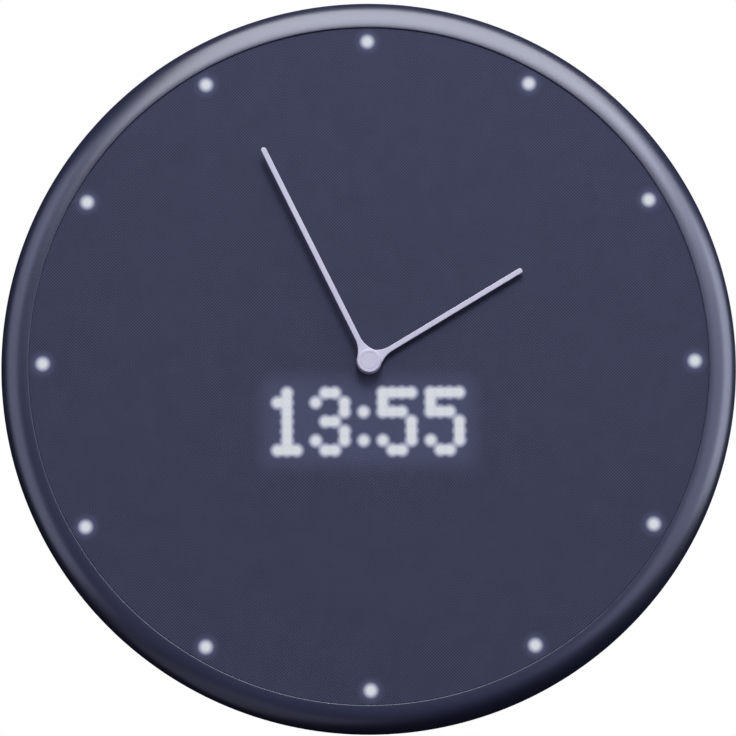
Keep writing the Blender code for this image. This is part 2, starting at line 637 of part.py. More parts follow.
def make_housing():
    """Shallow dish with screw wells, a hanger pocket, a button recess and a plug recess."""
    housing = turned("rear_housing", [
        (0.0, HOUSING_FRONT),
        (HOUSING_RADIUS, HOUSING_FRONT),
        (HOUSING_RADIUS, TAPER_FRONT),
        (BACK_RADIUS + HOUSING_EDGE_CHAMFER, HOUSING_EDGE_CHAMFER / 2),
        (BACK_RADIUS - HOUSING_EDGE_CHAMFER, 0.0),
        (0.0, 0.0),
    ], housing_plastic, INNER_STEPS)
    cavity = turned("housing_cavity", [
        (0.0, HOUSING_FRONT + OVERCUT),
        (HOUSING_RADIUS - HOUSING_WALL, HOUSING_FRONT + OVERCUT),
        (HOUSING_RADIUS - HOUSING_WALL, TAPER_FRONT + HOUSING_WALL),
        (BACK_RADIUS - HOUSING_WALL, HOUSING_FLOOR),
        (0.0, HOUSING_FLOOR),
    ], None, INNER_STEPS)
    hanger_half = HANGER_WIDTH / 2 + SEAT_GAP
    hanger_low = HANGER_MIDDLE - HANGER_LENGTH / 2 - SEAT_GAP
    hanger_high = HANGER_MIDDLE + HANGER_LENGTH / 2 + SEAT_GAP
    pocket_front = HANGER_SEAT + HANGER_POCKET_DEPTH
    plug_half = PLUG_RECESS_WIDTH / 2
    plug_low = -PLUG_RECESS_DROP - PLUG_RECESS_LENGTH
    channel_half = CHANNEL_WIDTH / 2
    pad_half = button_row_half + BUTTON_MARGIN
    pad_low = BUTTON_ROW - BUTTON_MARGIN
    pad_high = BUTTON_ROW + BUTTON_MARGIN
    wall = HOUSING_WALL
    below = -OVERCUT
    cut(
        cavity,
        boxes("hanger_block", [((-hanger_half - wall, hanger_low - wall, below),
                                (hanger_half + wall, hanger_high + wall, pocket_front + wall))]),
        boxes("plug_block", [((-plug_half - wall, plug_low - wall, below),
                              (plug_half + wall, wall - PLUG_RECESS_DROP, PLUG_RECESS_DEPTH + wall))]),
        boxes("channel_block", [((-channel_half - wall, -HOUSING_RADIUS, below),
                                 (channel_half + wall, plug_low, CHANNEL_DEPTH + wall))]),
        boxes("button_block", [((-pad_half - wall, pad_low - wall, below),
                                (pad_half + wall, pad_high + wall, BUTTON_RECESS + wall))]),
        rods("case_bosses", case_screw_places, CASE_SCREW_BOSS, below, HOUSING_FRONT + 2 * OVERCUT),
        rods("board_bosses", board_screw_places, POST_RADIUS, below, BOARD_REAR - SEAT_GAP,
             sides=SMALL_SIDES),
    )
    pocket_half = HANGER_POCKET_WIDTH / 2
    pocket_rise = HANGER_POCKET_LENGTH / 2
    slot_half = SOCKET_WIDTH / 2 + SEAT_GAP
    slot_rise = SOCKET_HEIGHT / 2 + SEAT_GAP
    cut(
        housing,
        cavity,
        boxes("hanger_rebate", [((-hanger_half, hanger_low, below),
                                 (hanger_half, hanger_high, HANGER_SEAT))]),
        boxes("hanger_pocket", [((-pocket_half, HANGER_MIDDLE - pocket_rise, 0.0),
                                 (pocket_half, HANGER_MIDDLE + pocket_rise, pocket_front))]),
        boxes("plug_recess", [((-plug_half, plug_low, below),
                               (plug_half, -PLUG_RECESS_DROP, PLUG_RECESS_DEPTH))]),
        boxes("cable_channel", [((-channel_half, -CASE_RADIUS, below),
                                 (channel_half, plug_low + wall, CHANNEL_DEPTH))]),
        boxes("button_recess", [((-pad_half, pad_low, below), (pad_half, pad_high, BUTTON_RECESS))]),
        boxes("socket_slot", [((-slot_half, -PLUG_RECESS_DROP - wall, SOCKET_MIDDLE - slot_rise),
                               (slot_half, 2 * wall - PLUG_RECESS_DROP, SOCKET_MIDDLE + slot_rise))]),
        rods("button_holes", button_places, BUTTON_RADIUS + SEAT_GAP, 0.0, FLANGE_SEAT + OVERCUT),
        rods("screw_wells", case_screw_places, CASE_SCREW_HEAD_RADIUS + SLIP_GAP, below,
             SCREW_HEAD_TOP + SEAT_GAP),
        rods("screw_holes", case_screw_places, CASE_SCREW_RADIUS + SEAT_GAP, SCREW_HEAD_TOP,
             HOUSING_FRONT + OVERCUT, sides=SMALL_SIDES),
        rods("board_pilots", board_screw_places, small_hole, HOUSING_FLOOR, BOARD_REAR, sides=SMALL_SIDES),
        rods("hanger_pilots", hanger_screw_places, small_hole, HANGER_SEAT - OVERCUT,
             HANGER_SEAT + SMALL_SCREW_BITE, sides=SMALL_SIDES),
    )


def make_case_screws():
    for index, place in enumerate(case_screw_places):
        screw_solid(f"case_screw_{index + 1}", place, SCREW_HEAD_TOP - CASE_SCREW_HEAD_HEIGHT,
                    SCREW_HEAD_TOP, BEZEL_LEDGE + CASE_SCREW_BITE, CASE_SCREW_RADIUS,
                    CASE_SCREW_HEAD_RADIUS)


def make_hanger():
    """Recessed keyhole plate that a wall screw's head drops into and slides up."""
    half_slot = KEYHOLE_SLOT / 2
    edge = math.degrees(math.asin(half_slot / KEYHOLE_RADIUS))
    entry = (0.0, KEYHOLE_ENTRY)
    top = (0.0, KEYHOLE_ENTRY + KEYHOLE_TRAVEL)
    keyhole = arc(entry, KEYHOLE_RADIUS, 90 + edge, 450 - edge, KEYHOLE_STEPS)
    keyhole += arc(top, half_slot, 0, 180, TIP_STEPS)
    outline = rounded_rectangle(HANGER_WIDTH, HANGER_LENGTH, BOARD_CORNER, (0.0, HANGER_MIDDLE))
    holes = [circle(small_hole, SMALL_SIDES, place) for place in hanger_screw_places]
    front = HANGER_INSET + HANGER_THICKNESS
    plate("hanger_plate", [outline, keyhole, *holes], HANGER_INSET, front, steel)
    for side, place in zip(("left", "right"), hanger_screw_places):
        small_screw(f"hanger_screw_{side}", place, HANGER_INSET, HANGER_SEAT + SMALL_SCREW_BITE - SEAT_GAP)


# Dial

def make_dial():
    """White backing pan: face, rim and clamped flange, with the light holes and the readout window."""
    dial = turned("dial_plate", [
        (bush_hole, DIAL_FRONT),
        (DIAL_RADIUS, DIAL_FRONT),
        (DIAL_RADIUS, FLANGE_FRONT),
        (HOUSING_RADIUS, FLANGE_FRONT),
        (HOUSING_RADIUS, FLANGE_REAR),
        (DIAL_INNER_RADIUS, FLANGE_REAR),
        (DIAL_INNER_RADIUS, DIAL_REAR),
        (bush_hole, DIAL_REAR),
    ], white_plastic, INNER_STEPS, closed=True)
    join(dial, rods("matrix_posts", matrix_post_places, POST_RADIUS, MATRIX_BOARD_FRONT + SEAT_GAP,
                    DIAL_REAR + DIAL_THICKNESS / 2, sides=SMALL_SIDES))
    window_half = matrix_half_width + EDGE_GAP
    window_rise = MATRIX_BLOCK_SIZE / 2 + EDGE_GAP
    post_pilot_front = MATRIX_BOARD_REAR + SMALL_SCREW_BITE + SEAT_GAP
    cut(
        dial,
        boxes("readout_window", [((-window_half, -MATRIX_DROP - window_rise, DIAL_REAR - OVERCUT),
                                  (window_half, window_rise - MATRIX_DROP, DIAL_FRONT + OVERCUT))]),
        rods("movement_pilots", movement_screw_places, small_hole, DIAL_REAR - OVERCUT,
             DIAL_FRONT + OVERCUT, sides=SMALL_SIDES),
        rods("post_pilots", matrix_post_places, small_hole, MATRIX_BOARD_FRONT, post_pilot_front,
             sides=SMALL_SIDES),
        rods("flange_holes", case_screw_places, CASE_SCREW_RADIUS + SEAT_GAP, FLANGE_REAR - OVERCUT,
             FLANGE_FRONT + OVERCUT, sides=SMALL_SIDES),
        rods("light_holes", hour_places, HOUR_LIGHT_RADIUS + SEAT_GAP, DIAL_REAR - OVERCUT,
             DIAL_FRONT + OVERCUT, sides=SMALL_SIDES),
    )


def make_fabric():
    """Woven cloth drawn over the dial and down its rim."""
    fold = (FABRIC_RADIUS - FABRIC_ROUND, FABRIC_FRONT - FABRIC_ROUND)
    profile = [(bush_hole, FABRIC_FRONT)]
    profile += arc(fold, FABRIC_ROUND, 90, 0, FABRIC_STEPS)
    profile += [
        (FABRIC_RADIUS, FABRIC_FRONT - FABRIC_WRAP + SEAT_GAP),
        (FABRIC_RADIUS - FABRIC_THICKNESS, FABRIC_FRONT - FABRIC_WRAP + SEAT_GAP),
        (FABRIC_RADIUS - FABRIC_THICKNESS, FABRIC_FRONT - FABRIC_THICKNESS),
        (bush_hole, FABRIC_FRONT - FABRIC_THICKNESS),
    ]
    turned("fabric_dial", profile, dial_cloth, CASE_STEPS, closed=True)


def make_hour_lights():
    """Clear ring with a light post for each hour, and the lamp ring behind it."""
    rim = circle(LED_BOARD_RADIUS, INNER_STEPS)
    guide_inner = circle(LED_BOARD_RADIUS - LIGHT_GUIDE_WIDTH, INNER_STEPS)
    guide = plate("hour_light_guide", [rim, guide_inner], GUIDE_REAR, GUIDE_FRONT, clear_plastic)
    join(guide, rods("light_posts", hour_places, HOUR_LIGHT_RADIUS,
                     GUIDE_FRONT - LIGHT_GUIDE_THICKNESS / 2, DIAL_FRONT, sides=SMALL_SIDES))
    board_inner = circle(LED_BOARD_RADIUS - LED_BOARD_WIDTH, INNER_STEPS)
    board_rear = LED_BOARD_FRONT - BOARD_THICKNESS
    board = plate("hour_led_board", [rim, board_inner], board_rear, LED_BOARD_FRONT, board_green)
    half = LED_SIZE / 2
    lamp_rear = LED_BOARD_FRONT - BOARD_THICKNESS / 2
    lamp_front = LED_BOARD_FRONT + LED_HEIGHT
    join(board, boxes("hour_lamps", [((x - half, y - half, lamp_rear), (x + half, y + half, lamp_front))
                                     for x, y in hour_places]))


def make_readout():
    """Square dot blocks side by side on one board, level with the front of the dial."""
    half = MATRIX_BLOCK_SIZE / 2 - SEAT_GAP / 2
    for index, name in enumerate(("left", "centre", "right")):
        x = (index - (MATRIX_BLOCKS - 1) / 2) * MATRIX_BLOCK_SIZE
        boxes(f"led_matrix_{name}", [((x - half, -MATRIX_DROP - half, MATRIX_REAR),
                                      (x + half, half - MATRIX_DROP, DIAL_FRONT))], matrix_black)
    width = 2 * (matrix_half_width + MATRIX_EAR)
    outline = rounded_rectangle(width, MATRIX_BLOCK_SIZE, BOARD_CORNER, (0.0, -MATRIX_DROP))
    holes = [circle(small_hole, SMALL_SIDES, place) for place in matrix_post_places]
    plate("matrix_board", [outline, *holes], MATRIX_BOARD_REAR, MATRIX_BOARD_FRONT, board_green)
    tip = MATRIX_BOARD_REAR + SMALL_SCREW_BITE
    for side, place in zip(("left", "right"), matrix_post_places):
        small_screw(f"matrix_screw_{side}", place, MATRIX_BOARD_REAR, tip)


# Movement

def make_movement_case():
    """Box behind the dial with two screw ears, the hand bush and the minute wheel's fixed post."""
    middle = (0.0, MOVEMENT_MIDDLE)
    shell = rounded_rectangle(MOVEMENT_WIDTH, MOVEMENT_HEIGHT, MOVEMENT_CORNER, middle)
    room = rounded_rectangle(MOVEMENT_WIDTH - 2 * MOVEMENT_WALL, MOVEMENT_HEIGHT - 2 * MOVEMENT_WALL,
                             MOVEMENT_CORNER - MOVEMENT_WALL, middle)
    case = plate("movement_case", [shell], COVER_FRONT + SEAT_GAP, MOVEMENT_FRONT, movement_grey)
    ear_front = MOVEMENT_FRONT - (MOVEMENT_WALL - EAR_THICKNESS) / 2
    ear_rear = ear_front - EAR_THICKNESS
    ear_half = MOVEMENT_WIDTH / 2 + EAR_LENGTH
    join(case, boxes("movement_ears", [((-ear_half, MOVEMENT_MIDDLE - EAR_HEIGHT / 2, ear_rear),
                                        (ear_half, MOVEMENT_MIDDLE + EAR_HEIGHT / 2, ear_front))]))
    cut(case, plate("movement_room", [room], COVER_FRONT - OVERCUT, MOVEMENT_INSIDE, None))
    join(case, rods("minute_wheel_post", [MINUTE_WHEEL_PLACE], TRAIN_ARBOR_RADIUS,
                    MINUTE_WHEEL_REAR - PINION_OVERLAP, MOVEMENT_FRONT - MOVEMENT_WALL / 2))
    inside = MOVEMENT_INSIDE - LAYER_GAP
    front = MOVEMENT_FRONT + OVERCUT
    pivot = bore_for(TRAIN_ARBOR_RADIUS, ROUND_SIDES)
    cut(
        case,
        rods("bush_seat", [CENTRE], bush_outer + EDGE_GAP / 2, inside, front),
        rods("third_front_pivot", [THIRD_PLACE], pivot, inside, front),
        rods("ear_holes", movement_screw_places, small_hole, ear_rear - OVERCUT, front, sides=SMALL_SIDES),
    )
    tube("centre_bush", bush_outer, bush_inner, MOVEMENT_INSIDE, FABRIC_FRONT - SEAT_GAP, brass)
    for side, place in zip(("left", "right"), movement_screw_places):
        small_screw(f"movement_screw_{side}", place, ear_rear, DIAL_FRONT - SEAT_GAP)


def make_movement_cover():
    """Rear plate of the movement with the rear bearings of the two arbors."""
    middle = (0.0, MOVEMENT_MIDDLE)
    outline = rounded_rectangle(MOVEMENT_WIDTH, MOVEMENT_HEIGHT, MOVEMENT_CORNER, middle)
    cover = plate("movement_cover", [outline], MOVEMENT_REAR, COVER_FRONT, movement_grey)
    base = MOVEMENT_REAR + MOVEMENT_COVER / 2
    bearings = (
        ("centre", CENTRE, MINUTE_ARBOR_RADIUS),
        ("third", THIRD_PLACE, TRAIN_ARBOR_RADIUS),
    )
    for name, place, arbor in bearings:
        bore = bore_for(arbor, ROUND_SIDES)
        join(cover, rods(f"{name}_bearing", [place], arbor + BOSS_WALL, base, BOSS_FRONT))
        cut(cover, rods(f"{name}_rear_pivot", [place], bore, COVER_FRONT, BOSS_FRONT + OVERCUT))


def gear(name, teeth, module, phase, arbor, rear, front, colour, parent):
    bore = circle(bore_for(arbor, ROUND_SIDES), ROUND_SIDES)
    plate(name, [gear_outline(teeth, module, phase), bore], rear, front, colour, parent)


def make_motor():
    """Round stepping motor on the cover, with its shaft and pinion."""
    bore = bore_for(TRAIN_ARBOR_RADIUS, ROUND_SIDES)
    tube("motor_can", MOTOR_RADIUS, bore, MOTOR_REAR, MOTOR_REAR + MOTOR_HEIGHT, steel, place=MOTOR_PLACE)
    pinion_front = THIRD_WHEEL_FRONT + PINION_OVERLAP
    rods("motor_shaft", [CENTRE], TRAIN_ARBOR_RADIUS, MOTOR_REAR + SEAT_GAP, pinion_front, steel,
         motor_axis)
    phase = mating_phase(TRAIN_WHEEL_TEETH, 0.0, MOTOR_BEARING, TRAIN_PINION_TEETH)
    gear("motor_pinion", TRAIN_PINION_TEETH, TRAIN_MODULE, phase, TRAIN_ARBOR_RADIUS, MOTOR_PINION_REAR,
         pinion_front, brass, motor_axis)


def make_gears():
    """Motion work for the two hands and the reduction from the motor."""
    gear("cannon_pinion", CANNON_TEETH, MINUTE_MODULE, 0.0, MINUTE_ARBOR_RADIUS, CANNON_REAR,
         CANNON_FRONT, brass, minute_axis)
    phase = mating_phase(CANNON_TEETH, 0.0, MINUTE_WHEEL_BEARING, MINUTE_WHEEL_TEETH)
    gear("minute_wheel", MINUTE_WHEEL_TEETH, MINUTE_MODULE, phase, TRAIN_ARBOR_RADIUS, MINUTE_WHEEL_REAR,
         MINUTE_WHEEL_FRONT, gear_white, minute_wheel_axis)
    gear("minute_wheel_pinion", MINUTE_PINION_TEETH, HOUR_MODULE, 0.0, TRAIN_ARBOR_RADIUS,
         MINUTE_PINION_REAR, HOUR_WHEEL_FRONT, gear_white, minute_wheel_axis)
    phase = mating_phase(MINUTE_PINION_TEETH, 0.0, MINUTE_WHEEL_BEARING + 180, HOUR_WHEEL_TEETH)
    gear("hour_wheel", HOUR_WHEEL_TEETH, HOUR_MODULE, phase, pipe_outer, HOUR_WHEEL_REAR,
         HOUR_WHEEL_FRONT, gear_white, hour_axis)
    gear("centre_wheel", TRAIN_WHEEL_TEETH, TRAIN_MODULE, 0.0, MINUTE_ARBOR_RADIUS, CENTRE_WHEEL_REAR,
         CENTRE_WHEEL_FRONT, brass, minute_axis)
    phase = mating_phase(TRAIN_WHEEL_TEETH, 0.0, THIRD_WHEEL_BEARING, TRAIN_PINION_TEETH)
    gear("third_pinion", TRAIN_PINION_TEETH, TRAIN_MODULE, phase, TRAIN_ARBOR_RADIUS, THIRD_PINION_REAR,
         CENTRE_WHEEL_FRONT + PINION_OVERLAP, brass, third_axis)
    gear("third_wheel", TRAIN_WHEEL_TEETH, TRAIN_MODULE, 0.0, TRAIN_ARBOR_RADIUS, THIRD_WHEEL_REAR,
         THIRD_WHEEL_FRONT, gear_white, third_axis)


def make_arbors():
    """Steel arbors, and the pipe that carries the hour hand around the minute arbor."""
    rear = COVER_FRONT + SEAT_GAP
    third_front = MOVEMENT_FRONT - SEAT_GAP
    pipe_rear = CANNON_FRONT + LAYER_GAP / 2
    rods("minute_arbor", [CENTRE], MINUTE_ARBOR_RADIUS, rear, MINUTE_HAND_FRONT, steel, minute_axis)
    rods("third_arbor", [CENTRE], TRAIN_ARBOR_RADIUS, rear, third_front, steel, third_axis)
    tube("hour_pipe", pipe_outer, pipe_inner, pipe_rear, HOUR_HAND_FRONT, brass, hour_axis)


# Hands

def make_hand(name, length, degrees, rear, front, arbor, parent):
    bore = circle(bore_for(arbor, ROUND_SIDES), ROUND_SIDES)
    hand = plate(name, [hand_outline(length), bore], rear, front, hand_paint, parent)
    hand.rotation_euler.z = -math.radians(degrees)


def make_hands():
    """Two hands on their collets, and the cap that hides the minute arbor's end."""
    make_hand("hour_hand", HOUR_HAND_LENGTH, HOUR_HAND_ANGLE, HOUR_HAND_REAR, HOUR_HAND_FRONT,
              pipe_outer, hour_axis)
    make_hand("minute_hand", MINUTE_HAND_LENGTH, MINUTE_HAND_ANGLE, MINUTE_HAND_REAR, MINUTE_HAND_FRONT,
              MINUTE_ARBOR_RADIUS, minute_axis)
    tube("hour_collet", HUB_RADIUS, bore_for(pipe_outer, ROUND_SIDES), FABRIC_FRONT + SLIP_GAP,
         HOUR_HAND_REAR - SEAT_GAP, hand_paint, hour_axis)
    tube("minute_collet", HUB_RADIUS, bore_for(MINUTE_ARBOR_RADIUS, ROUND_SIDES),
         HOUR_HAND_FRONT + SLIP_GAP, MINUTE_HAND_REAR - SEAT_GAP, hand_paint, minute_axis)
    cap_rear = MINUTE_HAND_FRONT + SEAT_GAP
    cap_front = cap_rear + CAP_HEIGHT
    turned("hand_cap", [
        (0.0, cap_front),
        (CAP_RADIUS - CAP_CHAMFER, cap_front),
        (CAP_RADIUS, cap_front - CAP_CHAMFER),
        (CAP_RADIUS, cap_rear),
        (0.0, cap_rear),
    ], hand_paint, ROUND_SIDES, parent=minute_axis)


# Controls and power

def make_control_board():
    """Board on two bosses with the switches at the rear and the chips at the front."""
    outline = rounded_rectangle(BOARD_WIDTH, BOARD_HEIGHT, BOARD_CORNER, (0.0, BOARD_MIDDLE))
    holes = [circle(small_hole, SMALL_SIDES, place) for place in board_screw_places]
    board = plate("control_board", [outline, *holes], BOARD_REAR, BOARD_FRONT, board_green)
    inside = BOARD_REAR + BOARD_THICKNESS / 2
    half = SWITCH_SIZE / 2
    switches = [((x - half, y - half, SWITCH_REAR), (x + half, y + half, inside)) for x, y in button_places]
    half = CHIP_SIZE / 2
    low = BOARD_MIDDLE - half
    high = BOARD_MIDDLE + half
    radio_left = RADIO_INSET - BOARD_WIDTH / 2
    chips = [
        ((-half, low, inside), (half, high, BOARD_FRONT + CHIP_HEIGHT)),
        ((radio_left, low, inside), (radio_left + RADIO_LENGTH, high, BOARD_FRONT + RADIO_HEIGHT)),
    ]
    join(board, boxes("board_switches", switches), boxes("board_chips", chips))
    plunger_bore = bore_for(PLUNGER_RADIUS, SMALL_SIDES)
    cut(board, rods("plunger_holes", button_places, plunger_bore, SWITCH_REAR - OVERCUT,
                    SWITCH_REAR + PLUNGER_DEPTH + PLUNGER_STICK, sides=SMALL_SIDES))
    tip = SMALL_SCREW_HEAD_HEIGHT + SMALL_SCREW_BITE
    for side, place in zip(("left", "right"), board_screw_places):
        screw = screw_solid(f"board_screw_{side}", place, 0.0, SMALL_SCREW_HEAD_HEIGHT, tip,
                            SMALL_SCREW_RADIUS, SMALL_SCREW_HEAD_RADIUS)
        screw.rotation_euler.x = math.pi
        screw.location.z = BOARD_FRONT + SEAT_GAP + SMALL_SCREW_HEAD_HEIGHT


def make_buttons():
    """Three flanged buttons that sit below the wall plane, each on its own switch plunger."""
    for name, place in zip(BUTTONS, button_places):
        turned(name, [
            (0.0, FLANGE_SEAT + BUTTON_FLANGE),
            (BUTTON_RADIUS + BUTTON_FLANGE, FLANGE_SEAT + BUTTON_FLANGE),
            (BUTTON_RADIUS + BUTTON_FLANGE, FLANGE_SEAT),
            (BUTTON_RADIUS, FLANGE_SEAT),
            (BUTTON_RADIUS, BUTTON_FACE_DEPTH),
            (0.0, BUTTON_FACE_DEPTH),
        ], button_rubber, ROUND_SIDES, place=place)
        plunger = rods(name.replace("button", "plunger"), [CENTRE], PLUNGER_RADIUS, PLUNGER_REAR,
                       SWITCH_REAR + PLUNGER_DEPTH, matrix_black, sides=SMALL_SIDES)
        plunger.location = (*place, 0.0)


def make_socket():
    """Power socket that opens downwards into the plug recess, with its contact tongue."""
    corner = SOCKET_HEIGHT / 2 - SOCKET_WALL
    shell = rounded_rectangle(SOCKET_WIDTH, SOCKET_HEIGHT, corner)
    mouth = rounded_rectangle(SOCKET_WIDTH - 2 * SOCKET_WALL, SOCKET_HEIGHT - 2 * SOCKET_WALL,
                              corner - SOCKET_WALL)
    bottom = SOCKET_WALL - PLUG_RECESS_DROP
    socket = plate("power_socket", [shell], 0.0, SOCKET_LENGTH, steel)
    hollow = plate("socket_mouth", [mouth], SOCKET_BACK, SOCKET_LENGTH + OVERCUT, None)
    tongue_half = SOCKET_WIDTH / 2 - SOCKET_BACK
    tongue = boxes("socket_tongue", [((-tongue_half, -SOCKET_TONGUE / 2, SOCKET_BACK / 2),
                                      (tongue_half, SOCKET_TONGUE / 2, SOCKET_LENGTH - SOCKET_BACK))])
    cut(socket, hollow)
    join(socket, tongue)
    for item in (socket, hollow, tongue):
        item.rotation_euler.x = math.pi / 2
        item.location = (0.0, bottom + SOCKET_LENGTH - item.location.z, SOCKET_MIDDLE)


def make_battery():
    """Flat cell on the floor of the housing, beside the movement."""
    corner_height = BATTERY_RISE + BATTERY_LENGTH / 2
    corner_reach = math.sqrt((BACK_RADIUS - BATTERY_MARGIN) ** 2 - corner_height ** 2)
    place = (corner_reach - BATTERY_WIDTH / 2, BATTERY_RISE)
    outline = rounded_rectangle(BATTERY_WIDTH, BATTERY_LENGTH, BATTERY_CORNER, place)
    rear = HOUSING_FLOOR + SEAT_GAP
    plate("battery_pack", [outline], rear, rear + BATTERY_THICKNESS, battery_wrap)


def make_ribbon():
    """Flat cable from the control board up to the readout board, in an S bend."""
    low = BOARD_FRONT + SEAT_GAP
    high = MATRIX_BOARD_REAR - SEAT_GAP - RIBBON_THICKNESS
    start = BOARD_MIDDLE - RIBBON_TAIL
    end = -MATRIX_DROP - RIBBON_TAIL
    path = [(start - RIBBON_TAIL, low)]
    for step in range(RIBBON_STEPS + 1):
        share = step / RIBBON_STEPS
        lift = (1 - math.cos(math.pi * share)) / 2
        path.append((start + (end - start) * share, low + (high - low) * lift))
    path.append((end + RIBBON_TAIL, high))
    outline = path + [(y, z + RIBBON_THICKNESS) for y, z in reversed(path)]
    ribbon = plate("readout_ribbon", [outline], -RIBBON_WIDTH / 2, RIBBON_WIDTH / 2, ribbon_film)
    ribbon.rotation_euler = (math.pi / 2, 0.0, math.pi / 2)
    ribbon.location = (RIBBON_OFFSET, 0.0, 0.0)


make_bezel()
make_housing()
make_case_screws()
make_hanger()
make_dial()
make_fabric()
make_hour_lights()
make_readout()
make_movement_case()
make_movement_cover()
make_motor()
make_gears()
make_arbors()
make_hands()
make_control_board()
make_buttons()
make_socket()
make_battery()
make_ribbon()
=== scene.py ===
# %% [markdown]
# # Dressing a round wall clock with a cloth dial
#
# The solid model of the clock is already made, so this lesson starts from it and gives it its looks.
# A round satin ring holds a dial of fine woven cloth. Twelve hour lights and a dot readout shine through
# the cloth, and two slim painted hands turn in front of it. We load the imported solids first, because every
# visible piece is placed by them and moves with one of their bodies.

# %% Load the imported solids
import json
import math

import bmesh
import bpy
from mathutils import Matrix, Vector


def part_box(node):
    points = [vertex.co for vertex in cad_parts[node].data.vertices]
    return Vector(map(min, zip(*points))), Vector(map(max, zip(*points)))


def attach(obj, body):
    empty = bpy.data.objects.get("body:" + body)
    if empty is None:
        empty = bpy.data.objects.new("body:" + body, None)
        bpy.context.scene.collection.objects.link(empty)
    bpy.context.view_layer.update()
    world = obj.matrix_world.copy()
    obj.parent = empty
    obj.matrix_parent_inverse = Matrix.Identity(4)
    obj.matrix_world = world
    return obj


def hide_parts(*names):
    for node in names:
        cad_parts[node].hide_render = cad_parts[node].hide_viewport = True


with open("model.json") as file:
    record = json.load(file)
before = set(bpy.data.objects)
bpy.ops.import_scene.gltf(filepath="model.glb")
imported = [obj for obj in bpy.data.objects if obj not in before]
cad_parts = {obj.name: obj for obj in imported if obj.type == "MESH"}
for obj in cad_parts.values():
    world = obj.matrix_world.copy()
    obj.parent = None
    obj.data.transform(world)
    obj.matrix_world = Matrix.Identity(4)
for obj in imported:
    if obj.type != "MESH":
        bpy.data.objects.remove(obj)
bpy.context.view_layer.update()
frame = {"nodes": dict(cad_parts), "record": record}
nodes = frame["nodes"]
MM = 0.001

# %% [markdown]
# ## The camera
#
# The photograph was taken with a long lens from just below the middle of the clock, almost straight on.
# Place, aim and lens were found by matching the twelve lights and the outline of the ring. The camera is
# turned in three steps, as on a tripod head: round the upright, up by the tilt, and over by a slight roll.

# %% Set up the camera
CAMERA_PLACE = Vector((-0.007425, -1.179883, -0.119605))
CAMERA_PAN = math.radians(0.349386)
CAMERA_TILT = math.radians(5.838427)
CAMERA_ROLL = math.radians(-0.31325)
CAMERA_LENS = 136.9212
CAMERA_SENSOR = 36.0

scene = bpy.context.scene
camera = bpy.data.objects.new("photo_camera", bpy.data.cameras.new("photo_camera"))
scene.collection.objects.link(camera)
camera.data.sensor_width = CAMERA_SENSOR
camera.data.lens = CAMERA_LENS
camera.matrix_world = (
    Matrix.Translation(CAMERA_PLACE)
    @ Matrix.Rotation(-CAMERA_PAN, 4, "Z")
    @ Matrix.Rotation(math.pi / 2 + CAMERA_TILT, 4, "X")
    @ Matrix.Rotation(CAMERA_ROLL, 4, "Z")
)
scene.camera = camera
scene.view_settings.view_transform = "Standard"
print("camera at", camera.location[:], "with a lens of", CAMERA_LENS, "mm")

# %% [markdown]
# ## Writing shaders as sums
#
# A finish is a small net of nodes. Drawn by hand it is easy to lose track of, so here a socket is wrapped
# in a class with the usual operators: adding two of them makes a Math node and wires it up. Any other
# node comes from one method, which takes its kind, its settings and what goes into its sockets.

# %% A socket that can be reckoned with
class Reading:
    """One number or colour that comes out of a node."""

    def __init__(self, net, socket):
        self.net = net
        self.socket = socket

    def maths(self, operation, *terms):
        return self.net.add("ShaderNodeMath", {"operation": operation}, dict(enumerate(terms)))

    def __add__(self, other):
        return self.maths("ADD", self, other)

    def __sub__(self, other):
        return self.maths("SUBTRACT", self, other)

    def __rsub__(self, other):
        return self.maths("SUBTRACT", other, self)

    def __mul__(self, other):
        return self.maths("MULTIPLY", self, other)

    def __truediv__(self, other):
        return self.maths("DIVIDE", self, other)

    def __mod__(self, other):
        return self.maths("FLOORED_MODULO", self, other)

    def __pow__(self, other):
        return self.maths("POWER", self, other)

    def __rpow__(self, other):
        return self.maths("POWER", other, self)

    def __abs__(self):
        return self.maths("ABSOLUTE", self)

    def __floor__(self):
        return self.maths("FLOOR", self)

    __radd__ = __add__
    __rmul__ = __mul__


# %% A net of nodes
class Net:
    """The nodes of one finish, or of the world."""

    def __init__(self, tree):
        self.tree = tree

    def feed(self, node, sockets):
        for name, given in sockets.items():
            if isinstance(given, Reading):
                self.tree.links.new(given.socket, node.inputs[name])
            else:
                node.inputs[name].default_value = given

    def add(self, kind, settings=None, sockets=None, out=0):
        node = self.tree.nodes.new(kind)
        for name, setting in (settings or {}).items():
            setattr(node, name, setting)
        self.feed(node, sockets or {})
        return Reading(self, node.outputs[out])

    def length(self, across, along):
        return (across * across + along * along) ** 0.5

    def fade(self, reading, near, far):
        """1 up to near, 0 from far on, and a soft step between them."""
        ends = {"Value": reading, "From Min": near, "From Max": far, "To Min": 1.0, "To Max": 0.0}
        return self.add("ShaderNodeMapRange", {"interpolation_type": "SMOOTHSTEP"}, ends)

    def mix(self, share, first, second):
        """A blend of two colours. A Mix node takes colours in its sockets 6 and 7, and gives them in 2."""
        return self.add("ShaderNodeMix", {"data_type": "RGBA"}, {0: share, 6: first, 7: second}, out=2)

    def speckle(self, place, size, detail=2.0):
        sockets = {"Vector": place, "Scale": 1 / size, "Detail": detail}
        return self.add("ShaderNodeTexNoise", None, sockets, out="Fac")

    def place(self):
        return self.add("ShaderNodeTexCoord", out="Object")

    def axes(self, place):
        split = self.tree.nodes.new("ShaderNodeSeparateXYZ")
        self.feed(split, {0: place})
        return [Reading(self, output) for output in split.outputs]

    def bump(self, height, depth):
        return self.add("ShaderNodeBump", None, {"Height": height, "Distance": depth, "Strength": 1.0})


